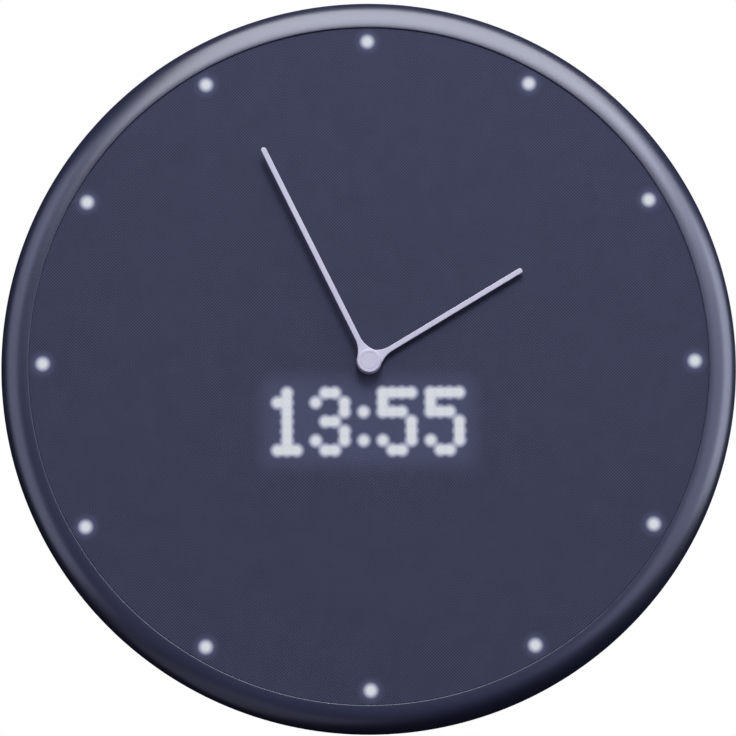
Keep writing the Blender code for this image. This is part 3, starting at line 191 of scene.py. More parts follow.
# %% Colours and new finishes
def shade(red, green, blue):
    """A colour as a screen gives it, 0 to 255, in a shader's linear numbers, by the usual screen curve."""
    parts = [part / 255 for part in (red, green, blue)]
    return *[p / 12.92 if p <= 0.04045 else ((p + 0.055) / 1.055) ** 2.4 for p in parts], 1.0


def new_finish(name):
    made = bpy.data.materials.new(name)
    made.use_nodes = True
    return made, Net(made.node_tree), made.node_tree.nodes["Principled BSDF"]


print("half of a screen's white is only", round(shade(128, 128, 128)[0], 3), "of its light")

# %% [markdown]
# ## The room
#
# The clock hangs in front of plain white. The world is white where the camera, or a look through something
# clear, meets it. As a lamp it is much dimmer and rather blue, a little brighter in front of the clock than
# behind it. Reflections show that dim room with only a trace more light, because the lower half of the ring
# in the photograph mirrors a dark, cool room.

# %% World
WHITE = (1.0, 1.0, 1.0, 1.0)
ROOM_TINT = (0.52, 0.56, 1.0, 1.0)
ROOM_LIGHT = 0.008
ROOM_SHINE = 0.006
FRONT_LIGHT = 0.08
FRONT_FULL = -1.0
FRONT_GONE = -0.4

world = bpy.data.worlds.new("white_room")
scene.world = world
world.use_nodes = True
room = Net(world.node_tree)
seen = room.add("ShaderNodeLightPath", out="Is Camera Ray")
light_path = seen.socket.node
through = Reading(room, light_path.outputs["Is Transmission Ray"])
mirrored = Reading(room, light_path.outputs["Is Glossy Ray"])
plain = seen.maths("MAXIMUM", seen, through)
shown = seen.maths("MAXIMUM", plain, mirrored * ROOM_SHINE)
_, depth, _ = room.axes(room.add("ShaderNodeTexCoord", out="Generated"))
dim = ROOM_LIGHT + FRONT_LIGHT * room.fade(depth, FRONT_FULL, FRONT_GONE)
room.feed(world.node_tree.nodes["Background"], {
    "Color": room.mix(plain, ROOM_TINT, WHITE),
    "Strength": dim + (1 - dim) * shown,
})
print("the room has", len(room.tree.nodes), "nodes")

# %% [markdown]
# ## The floor
#
# A pale floor lies far below, out of the picture. Views from above would show it as a grey disc with a hard
# edge, so for the camera it is lifted towards white, by half in the middle, where a faint shadow stays, and
# wholly at the rim, where it runs into the white behind it. It sends no light back up, so that the ring
# stays dark from below.

# %% Lay the floor
BLACK = (0.0, 0.0, 0.0, 1.0)
FLOOR_DROP = 1.4
FLOOR_RADIUS = 2.5
FLOOR_STEPS = 96
FLOOR_MOTTLE = 0.4
FLOOR_WHITE = 0.45
FLOOR_PLAIN = 1.5

floor_shape = bmesh.new()
bmesh.ops.create_circle(floor_shape, cap_ends=True, segments=FLOOR_STEPS, radius=FLOOR_RADIUS,
                        matrix=Matrix.Translation((0.0, 0.0, -FLOOR_DROP)))
floor_mesh = bpy.data.meshes.new("floor")
floor_shape.to_mesh(floor_mesh)
floor_shape.free()
floor = bpy.data.objects.new("floor", floor_mesh)
scene.collection.objects.link(floor)
floor.visible_diffuse = False
floor.visible_glossy = False

pale_floor, net, shader = new_finish("pale_floor")
where = net.place()
mottle = net.speckle(where, FLOOR_MOTTLE)
across, along, _ = net.axes(where)
lifted = 1 - (1 - FLOOR_WHITE) * net.fade(net.length(across, along), FLOOR_PLAIN, FLOOR_RADIUS)
floor_seen = net.add("ShaderNodeLightPath", out="Is Camera Ray")
net.feed(shader, {
    "Base Color": net.mix(mottle, shade(226, 226, 228), shade(236, 236, 238)),
    "Roughness": 0.75,
    "Emission Color": net.mix(floor_seen * lifted, BLACK, WHITE),
    "Emission Strength": 1.0,
})
floor_mesh.materials.append(pale_floor)
print("floor", FLOOR_RADIUS * 2, "m across,", FLOOR_DROP, "m below the clock's middle")

# %% [markdown]
# ## The lamps
#
# The hands throw short, dark shadows straight down, so most of the light comes from one fairly small lamp,
# high in front. The upper half of the ring carries a broad, soft highlight instead, which is the mirror
# image of a large, dimmer box that hangs over the clock. Three boxes on the right and three on the left
# draw the streaks down the sides. They are tinted, because their images on the ring are cool. Two more
# behind the clock light its back for views from there. The small lamp and these two are kept out of
# reflections, or they would show as hot spots. The brightness of a box is given as its radiance, because
# that is what the ring mirrors: power is radiance times area times pi.

# %% Soft boxes
AIM = Vector((0.0, -0.03, 0.0))
OVER_AIM = (0.2, -0.412, 0.046)
PALE = (0.925, 0.94, 1.0)
MILD = (0.79, 0.82, 1.0)
COOL = (0.72, 0.75, 1.0)


def soft_box(name, place, width, height, radiance, aim=AIM, tint=WHITE, mirrored=True):
    lamp = bpy.data.lights.new(name, "AREA")
    lamp.shape = "RECTANGLE"
    lamp.size = width
    lamp.size_y = height
    lamp.energy = radiance * width * height * math.pi
    lamp.color = tint[:3]
    holder = bpy.data.objects.new(name, lamp)
    holder.location = place
    holder.rotation_mode = "QUATERNION"
    holder.rotation_quaternion = (Vector(aim) - Vector(place)).to_track_quat("-Z", "Y")
    holder.visible_camera = False
    holder.visible_glossy = mirrored
    scene.collection.objects.link(holder)
    print(name, round(lamp.energy, 1), "W")


soft_box("key_lamp", (0.1, -2.04, 2.23), 1.15, 1.15, 19.0, mirrored=False)
soft_box("over_box", (0.2, -0.79, 0.972), 1.6, 1.62, 1.56, aim=OVER_AIM, tint=PALE)
soft_box("upper_right_box", (1.1, -0.72, 0.75), 1.0, 0.6, 0.9, tint=MILD)
soft_box("right_strip", (1.15, -0.18, 0.09), 0.75, 0.92, 1.14, tint=MILD)
soft_box("right_box", (0.98, -0.95, -0.12), 1.2, 1.1, 0.36, tint=COOL)
soft_box("upper_left_box", (-0.95, -0.85, 0.68), 0.7, 0.6, 0.2, tint=COOL)
soft_box("left_box", (-1.15, -0.43, 0.08), 0.95, 1.7, 0.41, tint=COOL)
soft_box("low_left_box", (-0.5, -0.35, -1.12), 1.25, 0.7, 0.12, tint=COOL)
soft_box("back_box", (-0.3, 1.2, 1.0), 1.2, 0.9, 7.0, mirrored=False)
soft_box("back_side_box", (1.1, 1.15, -0.25), 1.0, 1.0, 3.0, mirrored=False)

# %% [markdown]
# ## Making shapes
#
# Almost everything on this clock is either round or cut from plate. A round piece is a closed profile,
# drawn as points of radius and height above the wall, that is swept once round its axis, as on a lathe. A
# plate is an outline, with or without holes, given a thickness and slightly eased edges. Blender's flat
# curves do that well: they fill the outline, extrude it and round its edges in one go.

# %% Outlines
def at(across, up, height):
    """A point given as seen from the front, with its height above the wall, in the frame of the solids."""
    return Vector((across, -height, up))


def arc(middle, radius, start, end, steps):
    angles = [math.radians(start + (end - start) * step / steps) for step in range(steps + 1)]
    return [(middle[0] + radius * math.cos(a), middle[1] + radius * math.sin(a)) for a in angles]


def ring_of(radius, steps, middle=(0.0, 0.0)):
    return arc(middle, radius, 0, 360, steps)[:-1]


def rounded(width, height, corner, middle=(0.0, 0.0), steps=6):
    x, y = width / 2 - corner, height / 2 - corner
    corners = [(x, y, 0), (-x, y, 90), (-x, -y, 180), (x, -y, 270)]
    points = []
    for dx, dy, start in corners:
        points += arc((middle[0] + dx, middle[1] + dy), corner, start, start + 90, steps)
    return points


# %% Sizes of a solid
def heights(node):
    """How far a solid reaches from the wall, rear and front."""
    low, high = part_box(node)
    return -high.y, -low.y


def reach(node):
    """The smallest and largest distance of a solid's points from the clock's axis."""
    spans = [math.hypot(point.co.x, point.co.z) for point in nodes[node].data.vertices]
    return min(spans), max(spans)


def centre(node):
    """The middle of a solid's box, as seen from the front."""
    low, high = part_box(node)
    return (low.x + high.x) / 2, (low.z + high.z) / 2


print("the ring reaches from", reach("bezel_ring"), "and stands at", heights("bezel_ring"))

# %% Clean meshes
SMOOTH_ANGLE = math.radians(32)
WELD = 0.002 * MM
LEVEL = 0.99999


def tidy(shape, name):
    """Weld a shape and shade it smooth, apart from sharp edges and faces that lie level with the wall."""
    bmesh.ops.remove_doubles(shape, verts=shape.verts, dist=WELD)
    bmesh.ops.recalc_face_normals(shape, faces=shape.faces)
    mesh = bpy.data.meshes.new(name)
    shape.to_mesh(mesh)
    shape.free()
    mesh.shade_smooth()
    mesh.set_sharp_from_angle(angle=SMOOTH_ANGLE)
    for face in mesh.polygons:
        face.use_smooth = abs(face.normal.y) < LEVEL
    return mesh


# %% Round pieces
def turned(name, profile, steps, middle=(0.0, 0.0)):
    shape = bmesh.new()
    loops = []
    for radius, height in profile:
        points = ring_of(radius, steps, middle) if radius else [middle]
        loops.append([shape.verts.new(at(x, y, height)) for x, y in points])
    for near, far in zip(loops, loops[1:] + loops[:1]):
        for step in range(steps):
            after = (step + 1) % steps
            corners = [near[step % len(near)], near[after % len(near)],
                       far[after % len(far)], far[step % len(far)]]
            corners = list(dict.fromkeys(corners))
            if len(corners) > 2:
                shape.faces.new(corners)
    return tidy(shape, name)


# %% Plates
def plate(name, outlines, rear, front, ease=0.0, ease_steps=2):
    drawing = bpy.data.curves.new(name, "CURVE")
    drawing.dimensions = "2D"
    drawing.fill_mode = "BOTH"
    drawing.extrude = (front - rear) / 2 - ease
    drawing.bevel_depth = ease
    drawing.bevel_resolution = ease_steps
    drawing.offset = -ease
    for outline in outlines:
        line = drawing.splines.new("POLY")
        line.points.add(len(outline) - 1)
        for point, (x, y) in zip(line.points, outline):
            point.co = (x, y, 0.0, 1.0)
        line.use_cyclic_u = True
    holder = bpy.data.objects.new(name, drawing)
    scene.collection.objects.link(holder)
    shape = bmesh.new()
    shape.from_mesh(holder.evaluated_get(bpy.context.evaluated_depsgraph_get()).to_mesh())
    bpy.data.objects.remove(holder)
    for vert in shape.verts:
        vert.co = at(vert.co.x, vert.co.y, vert.co.z + (rear + front) / 2)
    return tidy(shape, name)


# %% A piece that rides on a body
def piece(name, mesh, body, finish, slot, *replaced):
    made = bpy.data.objects.new(name, mesh)
    scene.collection.objects.link(made)
    mesh.materials.clear()
    mesh.materials.append(finish)
    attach(made, body)
    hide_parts(*replaced)
    print(name, "has", len(mesh.polygons), "faces")
    return made


# %% [markdown]
# ## The ring's lacquer
#
# The ring is moulded and sprayed in a dark indigo satin with fine metal flakes, so it mirrors more than a
# plain lacquer does. Flakes could be drawn as a fine speckle, but they are too small to see from here, so a
# raised index of refraction stands in for them. Real spray isn't a mirror: it has a faint skin, the
# highlight is soft, and the colour drifts slightly. A noise of about a millimetre bumps the surface by a
# few microns, and a coarser one varies the roughness.

# %% Satin indigo lacquer
FLAKE_INDEX = 3.6
LACQUER_DARK = (0.015, 0.017, 0.043, 1.0)
LACQUER_LIGHT = (0.019, 0.021, 0.052, 1.0)
LACQUER_SHINE = (0.92, 0.93, 1.0, 1.0)
LACQUER_DRIFT = 30 * MM
SKIN_SIZE = 1.1 * MM
SKIN_DEPTH = 0.006 * MM

indigo_satin, net, shader = new_finish("indigo_satin")
where = net.place()
drift = net.speckle(where, LACQUER_DRIFT)
skin = net.speckle(where, SKIN_SIZE, detail=3.0)
net.feed(shader, {
    "Base Color": net.mix(drift, LACQUER_DARK, LACQUER_LIGHT),
    "Roughness": 0.29 + drift * 0.06,
    "Normal": net.bump(skin, SKIN_DEPTH),
    "IOR": FLAKE_INDEX,
    "Specular Tint": LACQUER_SHINE,
})
print("lacquer has", len(net.tree.nodes), "nodes")

# %% [markdown]
# ## The ring
#
# In section the ring is a quarter of an ellipse: flat beside the dial, and upright at the rim. A small
# round lip meets the cloth. A plain ring with a bevel would come close, but its curve would be a part of a
# circle, and the highlight would sit in the wrong place. The solid has the true section with fewer points,
# so the finer one is worked out from the solid's own sizes.

# %% Turn the ring
RING_STEPS = 256
LIP_ROUND = 0.25 * MM
LIP_STEPS = 8
CROWN_HEIGHT = 10.6 * MM
CROWN_STEPS = 40
REAR_ROUND = 0.6 * MM
REAR_STEPS = 5
SKIRT = 3 * MM
LEDGE = 27.5 * MM

lip_radius, case_radius = reach("bezel_ring")
ring_rear, ring_front = heights("bezel_ring")
print("lip radius", lip_radius / MM, "mm")
crown_start = lip_radius + LIP_ROUND
crown_width = case_radius - crown_start
profile = [(lip_radius, LEDGE)]
profile += arc((crown_start, ring_front - LIP_ROUND), LIP_ROUND, 180, 90, LIP_STEPS)
profile += [(crown_start + crown_width * x, ring_front - CROWN_HEIGHT + CROWN_HEIGHT * y)
            for x, y in arc((0.0, 0.0), 1.0, 90, 0, CROWN_STEPS)[1:]]
profile += arc((case_radius - REAR_ROUND, ring_rear + REAR_ROUND), REAR_ROUND, 0, -90, REAR_STEPS)
profile += [(case_radius - SKIRT, ring_rear), (case_radius - SKIRT, LEDGE)]
piece("bezel_rim", turned("bezel_rim", profile, RING_STEPS), "case", indigo_satin, "bezel", "bezel_ring")

# %% [markdown]
# ## The cloth
#
# The dial is covered with a fine plain weave in dark indigo, drawn tight over a white pan. Its threads are
# a little over half a millimetre apart, which shows as a faint checker of lighter spots. Threads could be
# modelled one by one, but there would be a hundred thousand crossings, so the weave is a pattern: the
# product of two waves is high on every second crossing, just where a thread passes over another. That
# wave bumps the crossings up. It also paints them lighter and the hollows between them darker, so the
# checker is partly painted light and shade.

# %% Weave
THREAD = 0.65 * MM
FIBRE = 0.25 * MM
SLUB = 9 * MM
CROSSING_SHADE_SHARE, FIBRE_SHARE, SLUB_SHARE = 0.62, 0.2, 0.18
FIBRE_RELIEF = 0.25
WEAVE_DARK = shade(37, 40, 59)
WEAVE_LIGHT = shade(74, 76, 98)

dial_weave, net, shader = new_finish("dial_weave")
where = net.place()
across, _, up = net.axes(where)


def wave(reading):
    return reading.maths("SINE", reading * (math.pi / THREAD))


over = wave(across) * wave(up) * 0.5 + 0.5
fibre = net.speckle(where, FIBRE, detail=1.0)
slub = net.speckle(where, SLUB, detail=3.0)
# The crossing wave's share is painted light on the raised crossings and painted shade in the hollows. Fibre
# and slub are the yarn's own tone.
tone_and_crossing_shade = over * CROSSING_SHADE_SHARE + fibre * FIBRE_SHARE + slub * SLUB_SHARE
weave_colour = net.mix(tone_and_crossing_shade, WEAVE_DARK, WEAVE_LIGHT)
weave_height = over + fibre * FIBRE_RELIEF
print("weave has", round(100 * MM / THREAD), "threads to 100 mm")

# %% [markdown]
# ## Light through the cloth
#
# Twelve small lamps stand behind the cloth, one for each hour. The cloth spreads each into a soft round
# spot. Real lamps behind a thin sheet are slow and noisy to render, so the glow is part of the cloth's
# finish. There is no need for twelve of anything: the angle round the dial is folded into one sector of
# thirty degrees, and the distance to that sector's one spot gives the glow for all of them.

# %% Hour spots
HOUR_CIRCLE = 134.3 * MM
SPOT_CORE = 1 * MM
SPOT_EDGE = 3.75 * MM
SPOT_HAZE = 1.7
SPOT_HAZE_EDGE = 6.5 * MM
SECTOR = 2 * math.pi / 12

span = net.length(across, up)
turn = across.maths("ARCTAN2", across, up)
folded = (turn + SECTOR / 2) % SECTOR - SECTOR / 2
sideways = span * folded.maths("SINE", folded)
outwards = span * folded.maths("COSINE", folded) - HOUR_CIRCLE
hour_distance = net.length(sideways, outwards)
hour_glow = net.fade(hour_distance, SPOT_CORE, SPOT_EDGE)
hour_haze = net.fade(hour_distance, SPOT_CORE, SPOT_HAZE_EDGE) * SPOT_HAZE
print("hour spots on a circle of", HOUR_CIRCLE / MM, "mm")

# %% [markdown]
# ## The readout
#
# The time also shows as dots behind the cloth, almost four millimetres apart. The digits are drawn below as
# rows of marks. Each row of dots becomes one whole number whose binary digits say which dots are lit, and
# the shader reads a digit back by dividing and taking the remainder. A dot's light reaches about as far as
# the next one, so each point of the cloth adds up the four dots around it.

# %% Rows of dots
DOT_PITCH = 3.933 * MM
READOUT_MIDDLE = -24.41 * MM
READOUT_SHIFT = -0.38 * MM
TIME_SHOWN = "13:55"
DIGITS = {
    "1": (".#.", "##.", ".#.", ".#.", ".#.", ".#.", "###"),
    "3": (".##.", "#..#", "...#", ".##.", "...#", "#..#", ".##."),
    "5": ("####", "#...", "###.", "...#", "...#", "#..#", ".##."),
    ":": (".", ".", "#", ".", ".", "#", "."),
}
rows = [".".join(line) for line in zip(*[DIGITS[sign] for sign in TIME_SHOWN])]
words = [sum(2 ** column for column, mark in enumerate(row) if mark == "#") for row in rows]
half_width = (len(rows[0]) - 1) / 2 * DOT_PITCH
half_height = (len(rows) - 1) / 2 * DOT_PITCH
first_column = READOUT_SHIFT - half_width
first_row = READOUT_MIDDLE + half_height
print("\n".join(rows))


# %% Places among the dots
def on_dots(across, up):
    """A place on the dial as the column and row that it lies on, counted from the first dot."""
    return (across - first_column) / DOT_PITCH, (first_row - up) / DOT_PITCH


def from_dot(net, column, row):
    """How far a place lies from the nearest dot, as a share of the step from dot to dot."""
    return net.length((column + 0.5) % 1.0 - 0.5, (row + 0.5) % 1.0 - 0.5)


# %% Light of the nearest four dots
DOT_CORE = 1 * MM
DOT_EDGE = 3.9 * MM
DOT_FALL = 1.25
SEAM_DIP = 0.08
SEAM_NEAR, SEAM_FAR = 0.3, 0.6
ROW_SLACK = 0.1

column, row = on_dots(across, up)
left, top = math.floor(column), math.floor(row)
dot_glow = 0.0
for row_step in (0, 1):
    this_row = top + row_step
    word = sum(this_row.maths("COMPARE", this_row, index, ROW_SLACK) * number
               for index, number in enumerate(words))
    for column_step in (0, 1):
        this_column = left + column_step
        lit = math.floor(word / 2 ** this_column) % 2
        away = net.length(column - this_column, row - this_row) * DOT_PITCH
        dot_glow = dot_glow + lit * net.fade(away, DOT_CORE, DOT_EDGE)
seam = 1 - SEAM_DIP + SEAM_DIP * net.fade(from_dot(net, column, row), SEAM_NEAR, SEAM_FAR)
dot_glow = dot_glow.maths("MINIMUM", dot_glow, 1.0) ** DOT_FALL * seam
print("the finish has", len(net.tree.nodes), "nodes so far")


# %% Haze round the lights
READOUT_HAZE = 0.8
READOUT_HAZE_EDGE = 12 * MM


def beyond(reading, half):
    """How far a reading lies outside a stretch that reaches half to either side of zero."""
    return reading.maths("MAXIMUM", abs(reading) - half, 0.0)


outside = beyond(across - READOUT_SHIFT, half_width), beyond(up - READOUT_MIDDLE, half_height)
readout_haze = net.fade(net.length(*outside), 0.0, READOUT_HAZE_EDGE) * READOUT_HAZE
haze = hour_haze.maths("MAXIMUM", hour_haze, readout_haze)
glow = dot_glow.maths("MINIMUM", dot_glow + hour_glow, 1.0)
print("haze round", half_width * 2 / MM, "by", half_height * 2 / MM, "mm")

# %% Cloth finish
HAZE_TINT = (0.027, 0.030, 0.053, 1.0)
SPOT_WHITE = (0.615, 0.638, 0.64, 1.0)
EDGE_BLUE = (0.31, 0.33, 1.0, 1.0)
EDGE_SHARE = 0.36
WEAVE_RELIEF = 0.05 * MM

haze_colour = net.mix(haze, BLACK, HAZE_TINT)
spot_colour = net.mix(glow, haze_colour, SPOT_WHITE)
net.feed(shader, {
    "Base Color": weave_colour,
    "Roughness": 0.92 - over * 0.12,
    "Normal": net.bump(weave_height, WEAVE_RELIEF),
    "Specular IOR Level": 0.25,
    "Sheen Weight": 0.08,
    "Emission Color": net.mix(glow * (1 - glow) * EDGE_SHARE, spot_colour, EDGE_BLUE),
    "Emission Strength": 1.0,
})
print("cloth finish has", len(net.tree.nodes), "nodes")

# %% [markdown]
# ## The sheet itself
#
# The cloth is one round sheet, stretched flat over the pan and folded down its rim, where the ring hides
# the edge. It was cut as a disc of about 290 mm. A cloth simulation would only pull it back to this flat
# disc, so it is turned like the ring.

# %% Stretch the cloth
CLOTH_THICKNESS = 0.8 * MM
CLOTH_FOLD = 0.25 * MM
FOLD_STEPS = 6
CLOTH_GAP = 0.06 * MM
CLOTH_BANDS = 14

cloth_hole = reach("fabric_dial")[0]
cloth_radius = lip_radius - CLOTH_GAP
cloth_rear, cloth_front = heights("fabric_dial")
flat_radius = cloth_radius - CLOTH_FOLD
bands = [cloth_hole + (flat_radius - cloth_hole) * band / CLOTH_BANDS for band in range(CLOTH_BANDS)]
profile = [(band, cloth_front) for band in bands]
profile += arc((flat_radius, cloth_front - CLOTH_FOLD), CLOTH_FOLD, 90, 0, FOLD_STEPS)
profile += [(cloth_radius, cloth_rear), (cloth_radius - CLOTH_THICKNESS, cloth_rear)]
profile += [(cloth_radius - CLOTH_THICKNESS, cloth_front - CLOTH_THICKNESS)]
profile += [(band, cloth_front - CLOTH_THICKNESS) for band in reversed(bands)]
cloth = piece("dial_cloth", turned("dial_cloth", profile, RING_STEPS), "case", dial_weave, "fabric",
              "fabric_dial")

# %% [markdown]
# ## The hands
#
# Both hands are thin stamped bars in pale lilac-grey satin paint. Each bar flares into a round hub through
# two hollow curves, which are two circles that touch the bar and the hub, so the whole outline is made of
# arcs and needs no modelling by eye. The drums under the hubs are turned, and so is the cap over the arbor,
# a flat disc with a fine groove and a rounded rim. Edges are eased, because a stamped edge catches a thin
# bright line.

# %% Hand paint
PAINT_CLOUD = 6 * MM
PAINT_GRAIN = 0.35 * MM
PAINT_RELIEF = 0.003 * MM

lilac_paint, net, shader = new_finish("lilac_paint")
where = net.place()
cloudy = net.speckle(where, PAINT_CLOUD)
grain = net.speckle(where, PAINT_GRAIN)
net.feed(shader, {
    "Base Color": net.mix(cloudy, shade(190, 188, 206), shade(203, 201, 218)),
    "Roughness": 0.38 + grain * 0.12,
    "Normal": net.bump(grain, PAINT_RELIEF),
})
print("paint has", len(net.tree.nodes), "nodes")

# %% Hand outline
HUB_RADIUS = 5.1 * MM
HUB_STEPS = 56
HAND_WIDTH = 2.2 * MM
TIP_STEPS = 16
HAND_FILLET = 11 * MM
FILLET_STEPS = 20


def hand_outline(length):
    half = HAND_WIDTH / 2
    side = half + HAND_FILLET
    rise = math.sqrt((HUB_RADIUS + HAND_FILLET) ** 2 - side ** 2)
    lean = math.degrees(math.atan2(rise, side))
    outline = arc((0.0, length - half), half, 0, 180, TIP_STEPS)
    outline += arc((-side, rise), HAND_FILLET, 0, -lean, FILLET_STEPS)
    outline += arc((0.0, 0.0), HUB_RADIUS, 180 - lean, 360 + lean, HUB_STEPS)[1:-1]
    return outline + arc((side, rise), HAND_FILLET, 180 + lean, 180, FILLET_STEPS)


def hand_turn(node):
    """The hand's clockwise angle and its length, from the solid's farthest point."""
    tip = max((point.co for point in nodes[node].data.vertices), key=lambda co: co.x ** 2 + co.z ** 2)
    return math.atan2(tip.x, tip.z), math.hypot(tip.x, tip.z)


print("hand angles and lengths:", hand_turn("minute_hand"), hand_turn("hour_hand"))

# %% Make both hands
HAND_EASE = 0.3 * MM
HAND_EASE_STEPS = 3
DRUM_EASE = 0.25 * MM
DRUM_STEPS = 64
BORE_STEPS = 48
HOUR_BORE = 2.6 * MM
MINUTE_BORE = 1.3 * MM


def make_hand(time, bore):
    angle, length = hand_turn(f"{time}_hand")
    rear, front = heights(f"{time}_hand")
    outlines = [hand_outline(length), ring_of(bore, BORE_STEPS)]
    blade = plate(f"{time}_blade", outlines, rear, front, HAND_EASE, HAND_EASE_STEPS)
    blade.transform(Matrix.Rotation(angle, 4, "Y"))
    piece(f"{time}_blade", blade, time, lilac_paint, "hands", f"{time}_hand")
    bottom, top = heights(f"{time}_collet")
    outer = HUB_RADIUS
    profile = [(bore, top), (outer - DRUM_EASE, top), (outer, top - DRUM_EASE),
               (outer, bottom + DRUM_EASE), (outer - DRUM_EASE, bottom), (bore, bottom)]
    drum = turned(f"{time}_drum", profile, DRUM_STEPS)
    piece(f"{time}_drum", drum, time, lilac_paint, "hands", f"{time}_collet")


make_hand("hour", HOUR_BORE)
make_hand("minute", MINUTE_BORE)

# %% Hand cap
CAP_RADIUS = 5 * MM
CAP_FLAT = 3.3 * MM
CAP_GROOVE = 0.12 * MM
CAP_EASE = 0.6 * MM
CAP_EASE_STEPS = 12

cap_rear, cap_front = heights("hand_cap")
cap_height = cap_front - cap_rear
profile = [(0.0, cap_front), (CAP_FLAT, cap_front), (CAP_FLAT + CAP_GROOVE, cap_front - CAP_GROOVE)]
profile += [(CAP_FLAT + 2 * CAP_GROOVE, cap_front)]
profile += [(CAP_RADIUS - CAP_EASE + CAP_EASE * x, cap_rear + cap_height * y)
            for x, y in arc((0.0, 0.0), 1.0, 90, 0, CAP_EASE_STEPS)]
profile += [(0.0, cap_rear)]
print("cap", cap_height / MM, "mm high")
piece("cap_disc", turned("cap_disc", profile, DRUM_STEPS), "minute", lilac_paint, "hands", "hand_cap")

# %% [markdown]
# ## Finishes of the inner pieces
#
# Most of what makes the clock go is out of sight: boards, wheels, a motor, a battery. Those solids keep
# their shape and only need a finish. Moulded plastics share one recipe, a fine spark-eroded grain with a
# slight drift of colour, and metals another, with brushed lines.

# %% Moulded plastics
PLASTIC_DARK, PLASTIC_LIGHT = 0.86, 1.18
PLASTIC_DRIFT = 25 * MM


def tones(colour, dark, light):
    """A darker and a lighter tone of a colour, given as shares of it."""
    return [(*[min(1.0, part * share) for part in colour], 1.0) for share in (dark, light)]


def moulded(name, colour, roughness, grain_size=0.5 * MM, grain_depth=0.01 * MM):
    made, net, shader = new_finish(name)
    where = net.place()
    drift = net.speckle(where, PLASTIC_DRIFT)
    grain = net.speckle(where, grain_size, detail=3.0)
    net.feed(shader, {
        "Base Color": net.mix(drift * 0.7 + grain * 0.3, *tones(colour, PLASTIC_DARK, PLASTIC_LIGHT)),
        "Roughness": roughness + grain * 0.12 - 0.06,
        "Normal": net.bump(grain, grain_depth),
    })
    return made


back_plastic = moulded("back_plastic", (0.026, 0.0265, 0.042), 0.55, 0.6 * MM, 0.02 * MM)
button_rubber = moulded("button_rubber", (0.11, 0.11, 0.125), 0.62, 0.3 * MM, 0.008 * MM)
print("moulded:", back_plastic.name, button_rubber.name)

# %% Brushed metals
METAL_DARK, METAL_LIGHT = 0.84, 1.12
METAL_CLOUD = 8 * MM
BRUSH_LINE = 0.12 * MM
BRUSH_STRETCH = 0.03
BRUSH_DEPTH = 0.004 * MM


def brushed(name, colour, roughness, metallic=1.0):
    made, net, shader = new_finish(name)
    across, deep, up = net.axes(net.place())
    drawn_out = net.add("ShaderNodeCombineXYZ", None, {"X": across * BRUSH_STRETCH, "Y": deep, "Z": up})
    lines = net.speckle(drawn_out, BRUSH_LINE, detail=3.0)
    cloud = net.speckle(net.place(), METAL_CLOUD)
    net.feed(shader, {
        "Base Color": net.mix(lines * 0.6 + cloud * 0.4, *tones(colour, METAL_DARK, METAL_LIGHT)),
        "Roughness": roughness + lines * 0.15 - 0.07,
        "Metallic": metallic,
        "Normal": net.bump(lines, BRUSH_DEPTH),
    })
    return made


zinc_steel = brushed("zinc_steel", (0.50, 0.50, 0.52), 0.42, metallic=0.5)
turned_brass = brushed("turned_brass", (0.66, 0.46, 0.18), 0.28)
print("brushed:", zinc_steel.name, turned_brass.name)

# %% [markdown]
# ## The back
#
# The back is a shallow moulded dish. Screw wells, a pocket for the wall hanger, a recess for the buttons
# and one for the plug are cut into it. We turn the dish, turn its hollow, leave blocks standing in the
# hollow where the pockets need walls, and then cut everything out with exact booleans.

# %% Cutting one shape with others
EASE_ANGLE = math.radians(50)


def loose(mesh):
    made = bpy.data.objects.new(mesh.name, mesh)
    scene.collection.objects.link(made)
    return made


def worked(mesh, operation, tools, ease=0.0):
    body = loose(mesh)
    for tool in tools:
        step = body.modifiers.new("work", "BOOLEAN")
        step.operation = operation
        step.solver = "EXACT"
        step.object = loose(tool)
    if ease:
        edge = body.modifiers.new("ease", "BEVEL")
        edge.width = ease
        edge.segments = 2
        edge.limit_method = "ANGLE"
        edge.angle_limit = EASE_ANGLE
    shape = bmesh.new()
    shape.from_mesh(body.evaluated_get(bpy.context.evaluated_depsgraph_get()).to_mesh())
    for step in body.modifiers:
        if step.type == "BOOLEAN":
            bpy.data.objects.remove(step.object)
    bpy.data.objects.remove(body)
    return tidy(shape, mesh.name)


# %% Blocks and rods
ALMOST_SHARP = 0.01 * MM


def block(low, high, rear, front, corner=ALMOST_SHARP):
    size = high[0] - low[0], high[1] - low[1]
    middle = (low[0] + high[0]) / 2, (low[1] + high[1]) / 2
    return plate("block", [rounded(*size, corner, middle, steps=5)], rear, front)


def rods(places, radius, rear, front, steps=40):
    return [plate("rod", [ring_of(radius, steps, place)], rear, front) for place in places]


def widened(low, high, by):
    return (low[0] - by, low[1] - by), (high[0] + by, high[1] + by)


# %% Dish and hollow
WALL = 2.4 * MM
DISH_RADIUS = 149 * MM
DISH_FRONT = 24.5 * MM
DISH_STEPS = 192
TAPER_FRONT = 14 * MM
BACK_RADIUS = 118 * MM
BACK_EASE = 2.5 * MM
BACK_EASE_STEPS = 6

slope = math.atan2(TAPER_FRONT, DISH_RADIUS - BACK_RADIUS)
lean = math.degrees(slope) - 90
ease_reach = BACK_EASE * math.tan(slope / 2)
rim_middle = DISH_RADIUS - BACK_EASE, TAPER_FRONT + ease_reach
foot_middle = BACK_RADIUS - ease_reach, BACK_EASE
profile = [(0.0, DISH_FRONT), (DISH_RADIUS, DISH_FRONT)]
profile += arc(rim_middle, BACK_EASE, 0, lean, BACK_EASE_STEPS)
profile += arc(foot_middle, BACK_EASE, lean, -90, BACK_EASE_STEPS)
profile += [(0.0, 0.0)]
dish = turned("back_shell", profile, DISH_STEPS)
hollow = turned("hollow", [
    (0.0, DISH_FRONT + MM),
    (DISH_RADIUS - WALL, DISH_FRONT + MM),
    (DISH_RADIUS - WALL, TAPER_FRONT + WALL),
    (BACK_RADIUS - WALL, WALL),
    (0.0, WALL),
], DISH_STEPS)
print("dish", len(dish.polygons), "faces, hollow", len(hollow.polygons))

